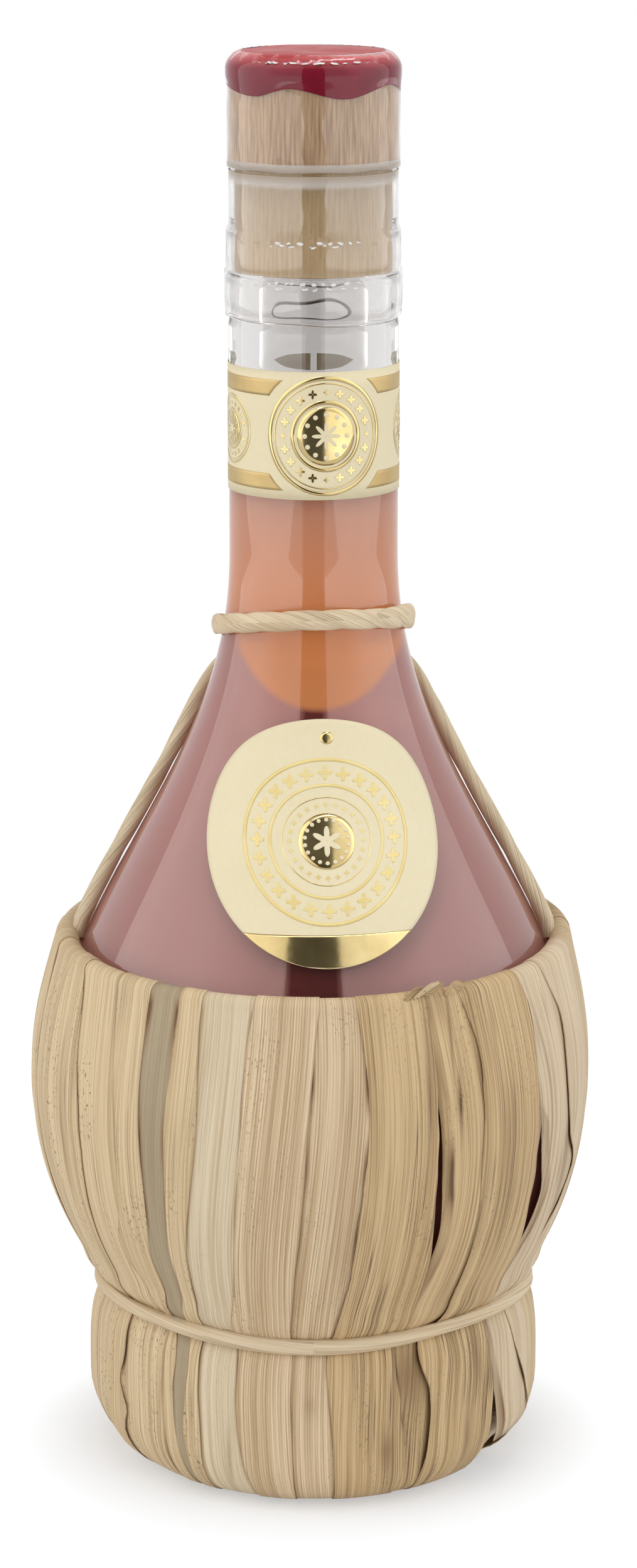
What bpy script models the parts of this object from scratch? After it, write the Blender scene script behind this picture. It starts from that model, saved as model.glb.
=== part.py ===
# Straw covered bottle: a round-bottomed glass flask with a wax-dipped wooden stopper, standing in a
# basket of dry leaves that are folded over a rim hoop, tied at the waist and tucked under a foot ring.
# Metres, +Z up. The origin is on the floor, under the bottle's axis. The front is at -Y.
import math
import random

import bmesh
import bpy
from mathutils import Vector

# Clearances between pieces that touch.
clearance = 0.0003
skin_clearance = 0.0002

# Glass flask. Heights on the flask are measured up from its lowest point.
belly_radius = 0.0477
belly_height = 0.0575
shoulder_rise = 0.0975
neck_radius = 0.0147
neck_length = 0.0661
glass_wall = 0.0026
glass_base = 0.004
bore_wall = 0.0049
bore_depth = 0.024
bore_flare_length = 0.008
shoulder_power = 1.15
belly_drop_power = 1.65
belly_draw_power = 2

# The neck's finish, from the lip down: a plain band, a ring, a groove and a bead.
lip_inset = 0.00035
lip_edge_radius = 0.001
lip_band_width = 0.0112
ring_swell = 0.00055
ring_half_width = 0.0026
groove_width = 0.0032
bead_swell = 0.0007
bead_half_width = 0.0027

# Air between the stopper's foot and the liquid.
headspace_height = 0.0251

# Stopper: a turned wooden head glued on a cork shank, dipped in sealing wax.
head_inset = 0.0005
head_height = 0.0179
head_edge_radius = 0.0026
shank_length = 0.0185
shank_edge_radius = 0.001
spigot_radius = 0.006
spigot_length = 0.006
wax_thickness = 0.0004
wax_skirt_height = 0.0065
wax_wave_height = 0.0009
wax_drip_count = 6
wax_first_drip_degrees = -42

# Clear shrink film, torn round where the head meets the lip.
film_thickness = 0.00015
film_turnover_width = 0.0015
film_hem_length = 0.0003

# Paper labels. The first spans these shares of the straight neck under the film, and the second
# these shares of the shoulder from the rim up to the neck cord.
label_thickness = 0.00015
neck_label_gap_degrees = 6
neck_label_span_shares = (0.25, 0.79)
shoulder_label_span_shares = (0.088, 0.746)
shoulder_label_turn_degrees = 2.8

# Basket of leaves. The hoop and the rolls of the foot ring are what the leaves are folded round.
leaf_thickness = 0.0004
leaf_air = 0.0004
rim_rise = 0.0261
rim_dip = 0.0013
hoop_wire_radius = 0.0008
flap_length = 0.0022
rim_settle_height = 0.032
waist_slack = 0.0008
foot_roll_radius = 0.0059
foot_tuck_length = 0.0045
leaf_tuck_degrees = 2.4
open_seam_degrees = 1.4

# Cords of twisted straw.
waist_cord_radius = 0.0013
waist_cord_rise = 0.0022
neck_cord_fall = 0.0138
neck_cord_drop = 0.0034
neck_cord_half_depth = 0.0008
neck_cord_half_height = 0.0017
side_cord_radius = 0.0015

# How finely round shapes are cut.
round_steps = 32
liquid_steps = 24
roll_steps = 24
roll_sides = 6
neck_label_steps = 28
shoulder_samples = 10
drop_samples = 8
inner_shoulder_samples = 7
inner_drop_samples = 6
bump_samples = 3
label_rings = 4
label_spokes = 24
rest_samples = 8

# Where the leaves' seams lie round the front, in degrees from the front at the belly and at the waist.
# Two neighbouring seams hold one leaf. Odd leaves lie outside and even ones are tucked under them.
front_seam_degrees = (
    (-78, -76),
    (-65, -63),
    (-54, -52.5),
    (-46, -45.5),
    (-35.5, -37),
    (-29.8, -33.3),
    (-20, -21.5),
    (-13.6, -18.7),
    (0.2, -5),
    (12, 3.8),
    (26.3, 22.5),
    (37.4, 28.2),
    (54.7, 49),
    (65.5, 57),
    (78, 72),
)
back_leaf_count = 12
back_seam_jitter_degrees = 1.6
# Seams that gape at the belly, so that the glass shows between the two leaves.
open_seams = (10, 12)

# Where each leaf is bent between the rim and the waist, as shares of that height.
leaf_bend_shares = (0.15, 0.29, 0.44, 0.58, 0.73, 0.87, 1)
# The waist's height as a share of the belly's, and the foot ring's radius as a share of the belly's.
waist_height_share = 0.355
foot_ring_share = 0.69
# How the skirt flares from the waist to the foot ring: share of the way down, share of the way out.
skirt_flare_shares = ((0.36, 0.7), (0.72, 0.93))
# The carrying cords' route, from the rim to the neck cord: share of the way up, degrees from the front.
side_cord_route_share = (
    (0, 88),
    (0.2, 92),
    (0.42, 97),
    (0.62, 104),
    (0.78, 111),
    (0.9, 122),
    (0.97, 140),
    (1, 166),
)
side_cord_points = 14


def collection(name):
    made = bpy.data.collections.new(name)
    bpy.context.scene.collection.children.link(made)
    return made


def material(name, colour, roughness, metallic=0.0, transmission=0.0):
    made = bpy.data.materials.new(name)
    made.use_nodes = True
    shader = made.node_tree.nodes["Principled BSDF"]
    shader.inputs["Base Color"].default_value = (*colour, 1)
    shader.inputs["Roughness"].default_value = roughness
    shader.inputs["Metallic"].default_value = metallic
    shader.inputs["Transmission Weight"].default_value = transmission
    made.diffuse_color = (*colour, 1 - 0.6 * transmission)
    return made


def add_object(name, data, look, height=0.0, parent=None):
    """An object on the bottle's axis at this height above its parent."""
    made = bpy.data.objects.new(name, data)
    made.location = (0, 0, height)
    made.parent = parent
    data.materials.append(look)
    parts.objects.link(made)
    return made


def turned(name, profile, look, height=0.0, parent=None, steps=round_steps):
    """A turned solid. The profile holds radius and height, and runs down its outer side."""
    mesh = bpy.data.meshes.new(name)
    edges = [(i, i + 1) for i in range(len(profile) - 1)]
    mesh.from_pydata([(radius, 0, z) for radius, z in profile], edges, [])
    made = add_object(name, mesh, look, height, parent)
    screw = made.modifiers.new("Turn", "SCREW")
    screw.steps = steps
    screw.render_steps = steps
    screw.use_merge_vertices = True
    screw.merge_threshold = 0.00001
    screw.use_smooth_shade = True
    return made


def sheet(name, rows, look, thickness, height=0.0, parent=None):
    """A thin shell: a grid of points, wound so that its faces look outwards, with its wall outside it."""
    bm = bmesh.new()
    grid = [[bm.verts.new(point) for point in row] for row in rows]
    for upper, lower in zip(grid, grid[1:]):
        for i in range(len(upper) - 1):
            bm.faces.new((upper[i], lower[i], lower[i + 1], upper[i + 1]))
    bmesh.ops.remove_doubles(bm, verts=bm.verts, dist=skin_clearance / 10)
    mesh = bpy.data.meshes.new(name)
    bm.to_mesh(mesh)
    bm.free()
    mesh.shade_smooth()
    made = add_object(name, mesh, look, height, parent)
    wall = made.modifiers.new("Wall", "SOLIDIFY")
    wall.thickness = thickness
    wall.offset = 1
    return made


def round_sheet(name, profile, look, thickness, height=0.0, parent=None, drop=None):
    """A thin turned shell. The profile runs down, and drop(angle) moves its lowest edge."""
    rows = []
    for row, (radius, z) in enumerate(profile):
        points = []
        for step in range(round_steps + 1):
            angle = math.tau * step / round_steps
            moved = drop(angle) if drop and row == len(profile) - 1 else 0
            points.append(around(radius, angle, z + moved))
        rows.append(points)
    return sheet(name, rows, look, thickness, height, parent)


def tube(name, points, radius, look, height=0.0, closed=False, section=None):
    """A cord along these points, round or with the section of a guide curve."""
    curve = bpy.data.curves.new(name, "CURVE")
    curve.dimensions = "3D"
    curve.bevel_depth = radius
    curve.bevel_resolution = 2
    curve.use_fill_caps = not closed
    if section:
        curve.bevel_mode = "OBJECT"
        curve.bevel_object = section
        curve.twist_mode = "Z_UP"
    spline = curve.splines.new("POLY")
    spline.points.add(len(points) - 1)
    for slot, point in zip(spline.points, points):
        slot.co = (*point, 1)
    spline.use_cyclic_u = closed
    return add_object(name, curve, look, height)


def around(radius, angle, z):
    """The point at this angle from the front, counted towards +X."""
    return Vector((radius * math.sin(angle), -radius * math.cos(angle), z))


def smooth_through(points, count):
    """Points read evenly from a Catmull-Rom curve through the given ones."""
    padded = [points[0] * 2 - points[1], *points, points[-1] * 2 - points[-2]]
    made = []
    for step in range(count):
        place = step * (len(points) - 1) / (count - 1)
        span = min(int(place), len(points) - 2)
        t = place - span
        a, b, c, d = padded[span : span + 4]
        bent = (2 * a - 5 * b + 4 * c - d) * t + (3 * b - a - 3 * c + d) * t * t
        made.append(b + ((c - a) + bent) * t / 2)
    return made


def read_profile(profile, z):
    """The radius of a profile at this height, by straight lines between its points."""
    for (upper, top), (lower, bottom) in zip(profile, profile[1:]):
        if bottom <= z <= top:
            return lower + (upper - lower) * (z - bottom) / max(top - bottom, skin_clearance / 10)
    return profile[0][0] if z > profile[0][1] else profile[-1][0]


def resting_radius(profile, z, reach):
    """How far out a round of this reach, at height z, lies against a turned outline."""
    found = []
    for step in range(1 - rest_samples, rest_samples):
        rise = reach * step / rest_samples
        found.append(read_profile(profile, z + rise) + math.sqrt(reach**2 - rise**2))
    return max(found)


def rounded_edge(radius, top, edge, samples=3):
    """A quarter turn from a flat top down to an outer side."""
    turns = [math.pi / 2 * (1 - step / samples) for step in range(samples + 1)]
    return [
        (radius - edge + edge * math.cos(turn), top - edge + edge * math.sin(turn))
        for turn in turns
    ]


def bump(swell, height, half_width):
    """A swelling ring round the lip, as a half sine from top to bottom."""
    made = []
    for step in range(bump_samples + 1):
        share = step / bump_samples
        radius = lip_radius + swell * math.sin(math.pi * share)
        made.append((radius, height + half_width * (1 - 2 * share)))
    return made


def flask_outline(inset, base, shoulder_steps, drop_steps):
    """The flask's curve from the foot of the neck to the axis, moved in by inset, with its floor at base."""
    wide = belly_radius - inset
    narrow = neck_radius - inset
    made = []
    for step in range(shoulder_steps + 1):
        share = 1 - step / shoulder_steps
        swell = math.cos(math.pi / 2 * share) ** (2 * shoulder_power)
        height = belly_height + (neck_foot_height - belly_height) * share
        made.append((narrow + (wide - narrow) * swell, height))
    for step in range(1, drop_steps + 1):
        turn = math.pi / 2 * step / drop_steps
        drop = math.sin(turn) ** (2 / belly_drop_power)
        draw = max(math.cos(turn), 0) ** (2 / belly_draw_power)
        made.append((wide * draw, belly_height - (belly_height - base) * drop))
    made[-1] = (0, base)
    return made


def finish_outline():
    """The outside of the neck, from the lip's top edge down to just above the neck label."""
    return (
        rounded_edge(lip_radius, flask_height, lip_edge_radius)
        + bump(ring_swell, ring_height, ring_half_width)
        + bump(bead_swell, bead_height, bead_half_width)
        + [(neck_radius, bead_height - 2 * bead_half_width)]
    )


def seat_height(outline):
    """How high the flask's lowest point stands when its round bottom lies in the upper roll."""
    roll_centre = 2 * leaf_pack + foot_roll_radius * 3
    reach = foot_roll_radius + clearance
    needed = []
    for (upper, top), (lower, bottom) in zip(outline, outline[1:]):
        for step in range(drop_samples):
            share = step / drop_samples
            across = upper + (lower - upper) * share - foot_ring_radius
            if abs(across) < reach and top <= belly_height:
                height = top + (bottom - top) * share
                needed.append(roll_centre + math.sqrt(reach**2 - across**2) - height)
    return max(needed)


def build_flask():
    outer = finish_outline() + outline
    inner = flask_outline(glass_wall, glass_base, inner_shoulder_samples, inner_drop_samples)
    throat = flask_height - bore_depth
    bore = [
        (bore_radius, flask_height),
        (bore_radius, throat),
        (neck_radius - glass_wall, throat - bore_flare_length),
    ]
    # The profile climbs the inside, crosses the lip and runs down the outside.
    turned("glass_flask", [*reversed(bore + inner), *outer], clear_glass, flask_lift)


def build_liquid():
    gap = glass_wall + clearance
    floor = glass_base + clearance
    inside = flask_outline(gap, floor, inner_shoulder_samples, inner_drop_samples)
    level = flask_height - shank_length - headspace_height
    profile = [(0, level), (neck_radius - gap, level), *inside]
    turned("rose_liquid", profile, rose_liquid, flask_lift, steps=liquid_steps)


def build_stopper():
    """Heights on the stopper are measured up from the lip."""
    axis = bpy.data.objects.new("stopper_pull_axis", None)
    axis.location = (0, 0, flask_lift + flask_height)
    parts.objects.link(axis)
    seat = clearance
    top = seat + head_height
    head_radius = neck_radius - head_inset
    shank_radius = bore_radius - clearance
    socket_radius = spigot_radius + clearance
    socket_top = seat + spigot_length + clearance
    head = [
        (0, top),
        *rounded_edge(head_radius, top, head_edge_radius),
        (head_radius, seat),
        (socket_radius, seat),
        (socket_radius, socket_top),
        (0, socket_top),
    ]
    turned("stopper_head", head, birch_wood, parent=axis)
    foot = -shank_length
    shank = [
        (0, seat + spigot_length),
        (spigot_radius, seat + spigot_length),
        (spigot_radius, 0),
        (shank_radius, 0),
        (shank_radius, foot + shank_edge_radius),
        (shank_radius - shank_edge_radius, foot),
        (0, foot),
    ]
    turned("stopper_shank", shank, cork, parent=axis, steps=liquid_steps)

    wax_radius = head_radius + skin_clearance
    wax_top = top + skin_clearance
    wax_edge = head_edge_radius + skin_clearance
    skirt = wax_top - wax_skirt_height
    wax = [(0, wax_top), *rounded_edge(wax_radius, wax_top, wax_edge), (wax_radius, skirt)]
    first_drip = math.radians(wax_first_drip_degrees)

    def wave(angle):
        return -wax_wave_height * math.cos(wax_drip_count * (angle - first_drip))

    round_sheet("wax_dip", wax, red_wax, wax_thickness, parent=axis, drop=wave)

    out = wax_thickness + skin_clearance
    film_radius = wax_radius + out
    film_top = wax_top + out
    film = [
        (film_radius - wax_edge - out - film_turnover_width, film_top),
        *rounded_edge(film_radius, film_top, wax_edge + out),
        (film_radius, seat),
    ]
    round_sheet("seal_film_top", film, clear_film, film_thickness, parent=axis)


def build_neck_film():
    outside = [
        (radius + skin_clearance, height)
        for radius, height in finish_outline()
        if film_hem_height <= height <= flask_height - lip_edge_radius
    ]
    hem = (read_profile(finish_outline(), film_hem_height) + skin_clearance, film_hem_height)
    round_sheet("seal_film_neck", [*outside, hem], clear_film, film_thickness, flask_lift)


def build_neck_label():
    radius = neck_radius + skin_clearance
    half_turn = math.pi - math.radians(neck_label_gap_degrees) / 2
    rows = []
    straight = film_hem_height - neck_foot_height
    for share in reversed(neck_label_span_shares):
        height = neck_foot_height + straight * share
        angles = [
            half_turn * (2 * step / neck_label_steps - 1) for step in range(neck_label_steps + 1)
        ]
        rows.append([around(radius, angle, height) for angle in angles])
    sheet("neck_label", rows, cream_paper, label_thickness, flask_lift)


def build_shoulder_label():
    """A paper disc laid on the shoulder: distances up it follow the glass, and those across it wrap round."""
    facing = math.radians(shoulder_label_turn_degrees)
    space = neck_cord_middle(0) - neck_cord_half_height - rim_height
    low, high = (rim_height + space * share for share in shoulder_label_span_shares)
    middle = (low + high) / 2
    label_radius = math.hypot(high - low, read_profile(outline, low) - read_profile(outline, high)) / 2
    rows = []
    for ring in range(label_rings + 1):
        points = []
        for spoke in range(label_spokes + 1):
            turn = math.tau * spoke / label_spokes
            reach = label_radius * ring / label_rings
            height = middle + (high - low) / 2 * math.cos(turn) * ring / label_rings
            radius = read_profile(outline, height) + clearance
            points.append(around(radius, facing - reach * math.sin(turn) / radius, height))
        rows.append(points)
    sheet("shoulder_label", rows, cream_paper, label_thickness, flask_lift)


def glass_at(z):
    """The flask's radius at a height above the floor."""
    return read_profile(outline, z - flask_lift)


def waist_middle(angle):
    """Height above the floor of the waist cord, which climbs in three gentle waves."""
    return flask_lift + waist_height + waist_cord_rise * (1 - math.cos(3 * angle)) / 2


def bed_line(angle):
    """What the leaves lie on at this angle, from the flap inside the rim to the tuck under the foot ring.

    Each entry is a point, as radius and height, and the direction out of the bed there. The rim dips at
    the front and is as much higher at the back.
    """
    rim_z = rim_height - rim_dip * math.cos(angle) + flask_lift
    step = flap_length
    fall = glass_at(rim_z - step) - glass_at(rim_z)
    along = Vector((fall, -step)).normalized()
    out = Vector((-along.y, along.x))
    hoop = Vector((glass_at(rim_z), rim_z)) + out * (2 * leaf_pack + clearance + hoop_wire_radius)
    inner_turn = math.atan2(-out.y, -out.x) + math.tau
    line = [(hoop - out * hoop_wire_radius + along * flap_length, -out)]
    fold_turns = 3
    for fold in range(fold_turns + 1):
        turn = inner_turn - math.pi * fold / fold_turns
        ray = Vector((math.cos(turn), math.sin(turn)))
        line.append((hoop + ray * hoop_wire_radius, ray))
    stand = hoop.x + hoop_wire_radius - glass_at(hoop.y)
    waist_z = waist_middle(angle)
    outside = []
    for share in leaf_bend_shares:
        z = hoop.y + (waist_z - hoop.y) * share
        settled = min((hoop.y - z) / rim_settle_height, 1)
        lift = (stand - leaf_air) * (1 - settled) ** 2
        lift += waist_slack * max(0, -math.sin(math.tau * share))
        outside.append(Vector((glass_at(z) + leaf_air + lift, z)))
    roll_side = foot_ring_radius + foot_roll_radius
    upper_z = 2 * leaf_pack + foot_roll_radius * 3
    lower_z = 2 * leaf_pack + foot_roll_radius
    waist = outside[-1]
    for down, way in skirt_flare_shares:
        z = waist.y + (upper_z - waist.y) * down
        outside.append(Vector((waist.x + (roll_side - waist.x) * way, z)))
    outside.append(Vector((roll_side, upper_z)))
    outside.append(Vector((roll_side, lower_z)))
    ends = [hoop + out * hoop_wire_radius, *outside, Vector((roll_side, 0))]
    for before, here, after in zip(ends, ends[1:], ends[2:]):
        way = (after - before).normalized()
        line.append((here, Vector((-way.y, way.x))))
    for turn in (-math.pi / 4, -math.pi / 2):
        ray = Vector((math.cos(turn), math.sin(turn)))
        line.append((Vector((foot_ring_radius, lower_z)) + ray * foot_roll_radius, ray))
    last, down = line[-1]
    line.append((last - Vector((foot_tuck_length, 0)), down))
    return line


def leaf_seams():
    """Every seam as (angle at the belly, angle at the waist), once round from the first one."""
    shuffle = random.Random(7)
    first, last = front_seam_degrees[0], front_seam_degrees[-1]
    seams = list(front_seam_degrees)
    for step in range(1, back_leaf_count):
        share = step / back_leaf_count
        jitter = shuffle.uniform(-back_seam_jitter_degrees, back_seam_jitter_degrees)
        belly = last[0] + (first[0] + 360 - last[0]) * share + jitter
        waist = last[1] + (first[1] + 360 - last[1]) * share + jitter
        seams.append((belly, waist))
    seams.append((first[0] + 360, first[1] + 360))
    return seams


def build_leaf(number, seams):
    """One leaf: the left and right seams swing from belly to waist as the leaf runs down the bed line."""
    left, right = seams[number], seams[number + 1]
    outside = number % 2 == 1
    offset = leaf_pack + clearance if outside else clearance
    tuck = 0 if outside else leaf_tuck_degrees
    rows = []
    waist_z = waist_middle(0)
    for place, (bend, _) in enumerate(bed):
        low = max(0, min(1, (belly_z - bend.y) / (belly_z - waist_z)))
        swing = low * low * (3 - 2 * low)
        left_edge = left[0] + (left[1] - left[0]) * swing - tuck
        right_edge = right[0] + (right[1] - right[0]) * swing + tuck
        if number in open_seams and waist_z < bend.y < front_hoop.y:
            gape = math.sin(math.pi * (front_hoop.y - bend.y) / (front_hoop.y - waist_z))
            left_edge += (leaf_tuck_degrees + open_seam_degrees) * gape
        row = []
        for degrees in (left_edge, (left_edge + right_edge) / 2, right_edge):
            angle = math.radians(degrees)
            point, normal = bed_line(angle)[place]
            laid = point + normal * offset
            row.append(around(laid.x, angle, laid.y))
        rows.append(row)
    name = f"straw_leaf_{number + 1:02d}"
    return sheet(name, rows, leaf_looks[number % len(leaf_looks)], leaf_thickness)


def hoop_middle(angle):
    """The middle of the hoop's wire at this angle, as radius and height."""
    line = bed_line(angle)
    return (line[1][0] + line[4][0]) / 2


def build_rim_hoop():
    points = []
    for step in range(round_steps):
        angle = math.tau * step / round_steps
        middle = hoop_middle(angle)
        points.append(around(middle.x, angle, middle.y))
    tube("rim_hoop", points, hoop_wire_radius, twisted_straw, closed=True)


def build_foot_ring():
    """Two rolls of straw, one on the other, that the flask stands in."""
    for name, turns in (("foot_roll_lower", 1), ("foot_roll_upper", 3)):
        bpy.ops.mesh.primitive_torus_add(
            major_radius=foot_ring_radius,
            minor_radius=foot_roll_radius - clearance / 2,
            major_segments=roll_steps,
            minor_segments=roll_sides,
            generate_uvs=False,
        )
        roll = bpy.context.object
        roll.name = name
        roll.location.z = 2 * leaf_pack + foot_roll_radius * turns
        roll.data.name = name
        roll.data.shade_smooth()
        roll.data.materials.append(twisted_straw)
        for home in list(roll.users_collection):
            home.objects.unlink(roll)
        parts.objects.link(roll)


def build_waist_cord():
    """The cord rests in the notch that it pulls into the leaves."""
    outer = 2 * leaf_pack + clearance + waist_cord_radius
    points = []
    for step in range(round_steps):
        angle = math.tau * step / round_steps
        z = waist_middle(angle)
        wall = [(point.x, point.y) for point, _ in bed_line(angle)[5:-3]]
        radius = resting_radius(wall, z, outer) / math.cos(math.pi / round_steps)
        points.append(around(radius, angle, z))
    tube("waist_cord", points, waist_cord_radius, twisted_straw, closed=True)


def neck_cord_middle(angle):
    """Height of the neck cord above the flask's lowest point: it slopes down to the back."""
    return neck_foot_height - neck_cord_fall + neck_cord_drop * math.cos(angle)


def build_neck_cord():
    section = bpy.data.curves.new("neck_cord_section", "CURVE")
    section.dimensions = "2D"
    spline = section.splines.new("POLY")
    sides = 8
    spline.points.add(sides - 1)
    for step, slot in enumerate(spline.points):
        turn = math.tau * step / sides
        across = neck_cord_half_depth * math.cos(turn)
        slot.co = (across, -neck_cord_half_height * math.sin(turn), 0, 1)
    spline.use_cyclic_u = True
    guide = bpy.data.objects.new("neck_cord_section", section)
    guide.hide_render = True
    guide.display_type = "WIRE"
    guides.objects.link(guide)
    points = []
    for step in range(round_steps):
        angle = math.tau * step / round_steps
        middle = neck_cord_middle(angle)
        widest = read_profile(outline, middle - neck_cord_half_height / 2)
        points.append(around(widest + clearance + neck_cord_half_depth, angle, middle))
    tube("neck_cord", points, 0, twisted_straw, flask_lift, closed=True, section=guide)


def build_side_cords():
    """The carrying cords climb the shoulder from the rim and end behind the neck, under the neck cord."""
    off = side_cord_radius + clearance
    start = math.radians(side_cord_route_share[0][1])
    fold_top = hoop_middle(start).y + hoop_wire_radius + 2 * leaf_pack - flask_lift
    for name, side in (("side_cord_left", -1), ("side_cord_right", 1)):
        route = []
        for share, degrees in side_cord_route_share:
            top = neck_cord_middle(math.pi) - neck_cord_half_height - off
            height = fold_top + clearance + (top - fold_top) * share
            route.append(Vector((degrees, height)))
        points = []
        for degrees, height in smooth_through(route, side_cord_points):
            radius = read_profile(outline, height)
            lower = read_profile(outline, height - off)
            way = Vector((lower - radius, -off)).normalized()
            spot = Vector((radius, height)) + Vector((-way.y, way.x)) * off
            points.append(around(spot.x, side * math.radians(degrees), spot.y))
        tube(name, points, side_cord_radius, twisted_straw, flask_lift)


for old in list(bpy.data.objects):
    bpy.data.objects.remove(old, do_unlink=True)
parts = collection("straw_covered_bottle")
guides = collection("guides")

clear_glass = material("clear_glass", (0.86, 0.88, 0.87), 0.02, transmission=1)
rose_liquid = material("rose_liquid", (0.55, 0.27, 0.25), 0.02, transmission=0.6)
birch_wood = material("birch_wood", (0.56, 0.42, 0.27), 0.55)
cork = material("cork", (0.5, 0.38, 0.24), 0.75)
red_wax = material("red_wax", (0.32, 0.01, 0.03), 0.25)
clear_film = material("clear_film", (0.9, 0.9, 0.9), 0.08, transmission=0.9)
cream_paper = material("cream_paper", (0.84, 0.76, 0.56), 0.6)
twisted_straw = material("twisted_straw", (0.67, 0.54, 0.36), 0.7)
leaf_looks = (
    material("pale_leaf", (0.66, 0.52, 0.32), 0.65),
    material("brown_leaf", (0.52, 0.37, 0.2), 0.7),
    material("grey_leaf", (0.45, 0.4, 0.27), 0.7),
)

neck_foot_height = belly_height + shoulder_rise
flask_height = neck_foot_height + neck_length
bore_radius = neck_radius - bore_wall
lip_radius = neck_radius - lip_inset
ring_height = flask_height - lip_band_width - ring_half_width
bead_height = ring_height - ring_half_width - groove_width - bead_half_width
film_hem_height = bead_height - bead_half_width - film_hem_length
rim_height = belly_height + rim_rise
waist_height = belly_height * waist_height_share
foot_ring_radius = belly_radius * foot_ring_share
leaf_pack = leaf_thickness + clearance
outline = flask_outline(0, 0, shoulder_samples, drop_samples)
flask_lift = seat_height(outline)
build_flask()
build_liquid()
build_stopper()
build_neck_film()
build_neck_label()
build_shoulder_label()
bed = bed_line(0)
front_hoop = hoop_middle(0)
belly_z = flask_lift + belly_height
all_seams = leaf_seams()
for leaf in range(len(all_seams) - 1):
    build_leaf(leaf, all_seams)
build_rim_hoop()
build_foot_ring()
build_waist_cord()
build_neck_cord()
build_side_cords()
print(f"flask lift {flask_lift * 1000:.2f} mm")
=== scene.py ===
# Straw covered bottle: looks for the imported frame.
# Sizes are in millimetres and angles in degrees from the front, towards +X, unless a note says otherwise.
import random

import bmesh
import bpy
import numpy as np
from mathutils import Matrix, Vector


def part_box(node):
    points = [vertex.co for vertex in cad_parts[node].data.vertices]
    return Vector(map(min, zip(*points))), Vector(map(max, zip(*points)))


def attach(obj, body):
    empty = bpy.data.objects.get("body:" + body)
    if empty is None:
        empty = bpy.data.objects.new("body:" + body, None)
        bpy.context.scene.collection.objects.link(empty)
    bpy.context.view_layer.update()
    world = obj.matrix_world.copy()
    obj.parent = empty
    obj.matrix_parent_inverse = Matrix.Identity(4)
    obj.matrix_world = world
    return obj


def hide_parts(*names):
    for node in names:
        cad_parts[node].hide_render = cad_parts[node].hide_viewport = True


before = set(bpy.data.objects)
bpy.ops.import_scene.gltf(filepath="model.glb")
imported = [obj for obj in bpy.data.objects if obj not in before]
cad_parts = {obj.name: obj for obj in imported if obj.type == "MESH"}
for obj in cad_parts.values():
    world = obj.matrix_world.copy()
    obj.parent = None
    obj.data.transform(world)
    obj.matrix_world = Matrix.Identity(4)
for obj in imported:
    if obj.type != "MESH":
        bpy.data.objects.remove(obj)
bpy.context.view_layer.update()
print("stage: frame loaded")

mm = 0.001
mergeReach = 2e-6  # metres within which a grid's meeting edges become one
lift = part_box("glass_flask")[0].z / mm  # the flask's lowest point above the floor
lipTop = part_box("glass_flask")[1].z / mm

flask = {
    "bellyRadius": 47.7, "bellyHeight": 57.5, "neckRadius": 14.7, "neckFoot": 155.0,
    "wall": 2.6, "floor": 4.0, "shoulderPower": 1.15, "dropPower": 1.65, "drawPower": 2.0,
    "boreRadius": 8.95, "boreDepth": 33.0, "flare": 8.0, "lipInset": 0.35, "lipEdge": 0.55,
    "ringHeight": 206.6, "ringSwell": 0.5, "ringHalf": 3.6,
    "beadHeight": 199.1, "beadSwell": 0.7, "beadHalf": 3.7, "turns": 128,
    # The mouth widens by the first over the depth of the second; the band under the lip starts between these.
    "mouth": (0.6, 1.2), "bandFrom": (193.4, 196.1), "finishFrom": 190.0, "joinAt": 185.0,
    "tint": (0.72, 0.705, 0.695), "upperTint": (0.68, 0.665, 0.655),
}


def smooth(x, low=0.0, high=1.0):
    # A step from 0 to 1 that starts and ends level.
    t = np.clip((x - low) / (high - low), 0, 1)
    return t * t * (3 - 2 * t)


def ripple(seed, count, slowest, fastest, *axes):
    # A sum of sine waves across the given axes, each with its own seeded pace and start, about -1 to 1.
    draw = np.random.default_rng(seed)
    total = 0
    for _ in range(count):
        paces = draw.uniform(slowest, fastest, len(axes)) * draw.choice([-1, 1], len(axes))
        total = total + np.sin(sum(p * a for p, a in zip(paces, axes)) + draw.uniform(0, 2 * np.pi))
    return total / np.sqrt(count) / 1.2


def around(radius, degrees, z):
    # Points at these radii, angles and heights: x is radius times sine, y is minus radius times cosine.
    turn = np.radians(degrees)
    radius, turn, z = np.broadcast_arrays(radius, turn, z)
    return np.stack([radius * np.sin(turn), -radius * np.cos(turn), z], axis=-1)


def revolve(profile, turns, change=None):
    # A profile of (radius, height) carried once round the axis; change(radius, degrees, z) moves its points.
    degrees = np.linspace(-180, 180, turns + 1)[None, :]
    radius, z = (np.repeat(profile[:, i : i + 1], turns + 1, axis=1) for i in (0, 1))
    if change:
        radius, z = change(radius, degrees, z)
    along = np.concatenate([[0], np.cumsum(np.hypot(*np.diff(profile, axis=0).T))])
    uv = np.stack(np.broadcast_arrays(np.radians(degrees) * profile[:, 0].max(), along[:, None]), -1)
    return {"at": around(radius, degrees, z), "uv": uv / 10}


def through(points, count):
    # Points read evenly from a cubic curve through rows of given points: at each one it runs along the line
    # between that point's neighbours.
    points = np.asarray(points, float)
    padded = np.concatenate([2 * points[:1] - points[1:2], points, 2 * points[-1:] - points[-2:-1]])
    place = np.linspace(0, len(points) - 1, count)
    span = np.minimum(place.astype(int), len(points) - 2)
    t = (place - span).reshape(-1, *[1] * (points.ndim - 1))
    a, b, c, d = (padded[span + i] for i in range(4))
    return b + ((c - a) * t + (2 * a - 5 * b + 4 * c - d) * t**2 + (3 * b - a - 3 * c + d) * t**3) / 2


def newObject(name, data):
    made = bpy.data.objects.new(name, data)
    bpy.context.scene.collection.objects.link(made)
    return made


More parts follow.
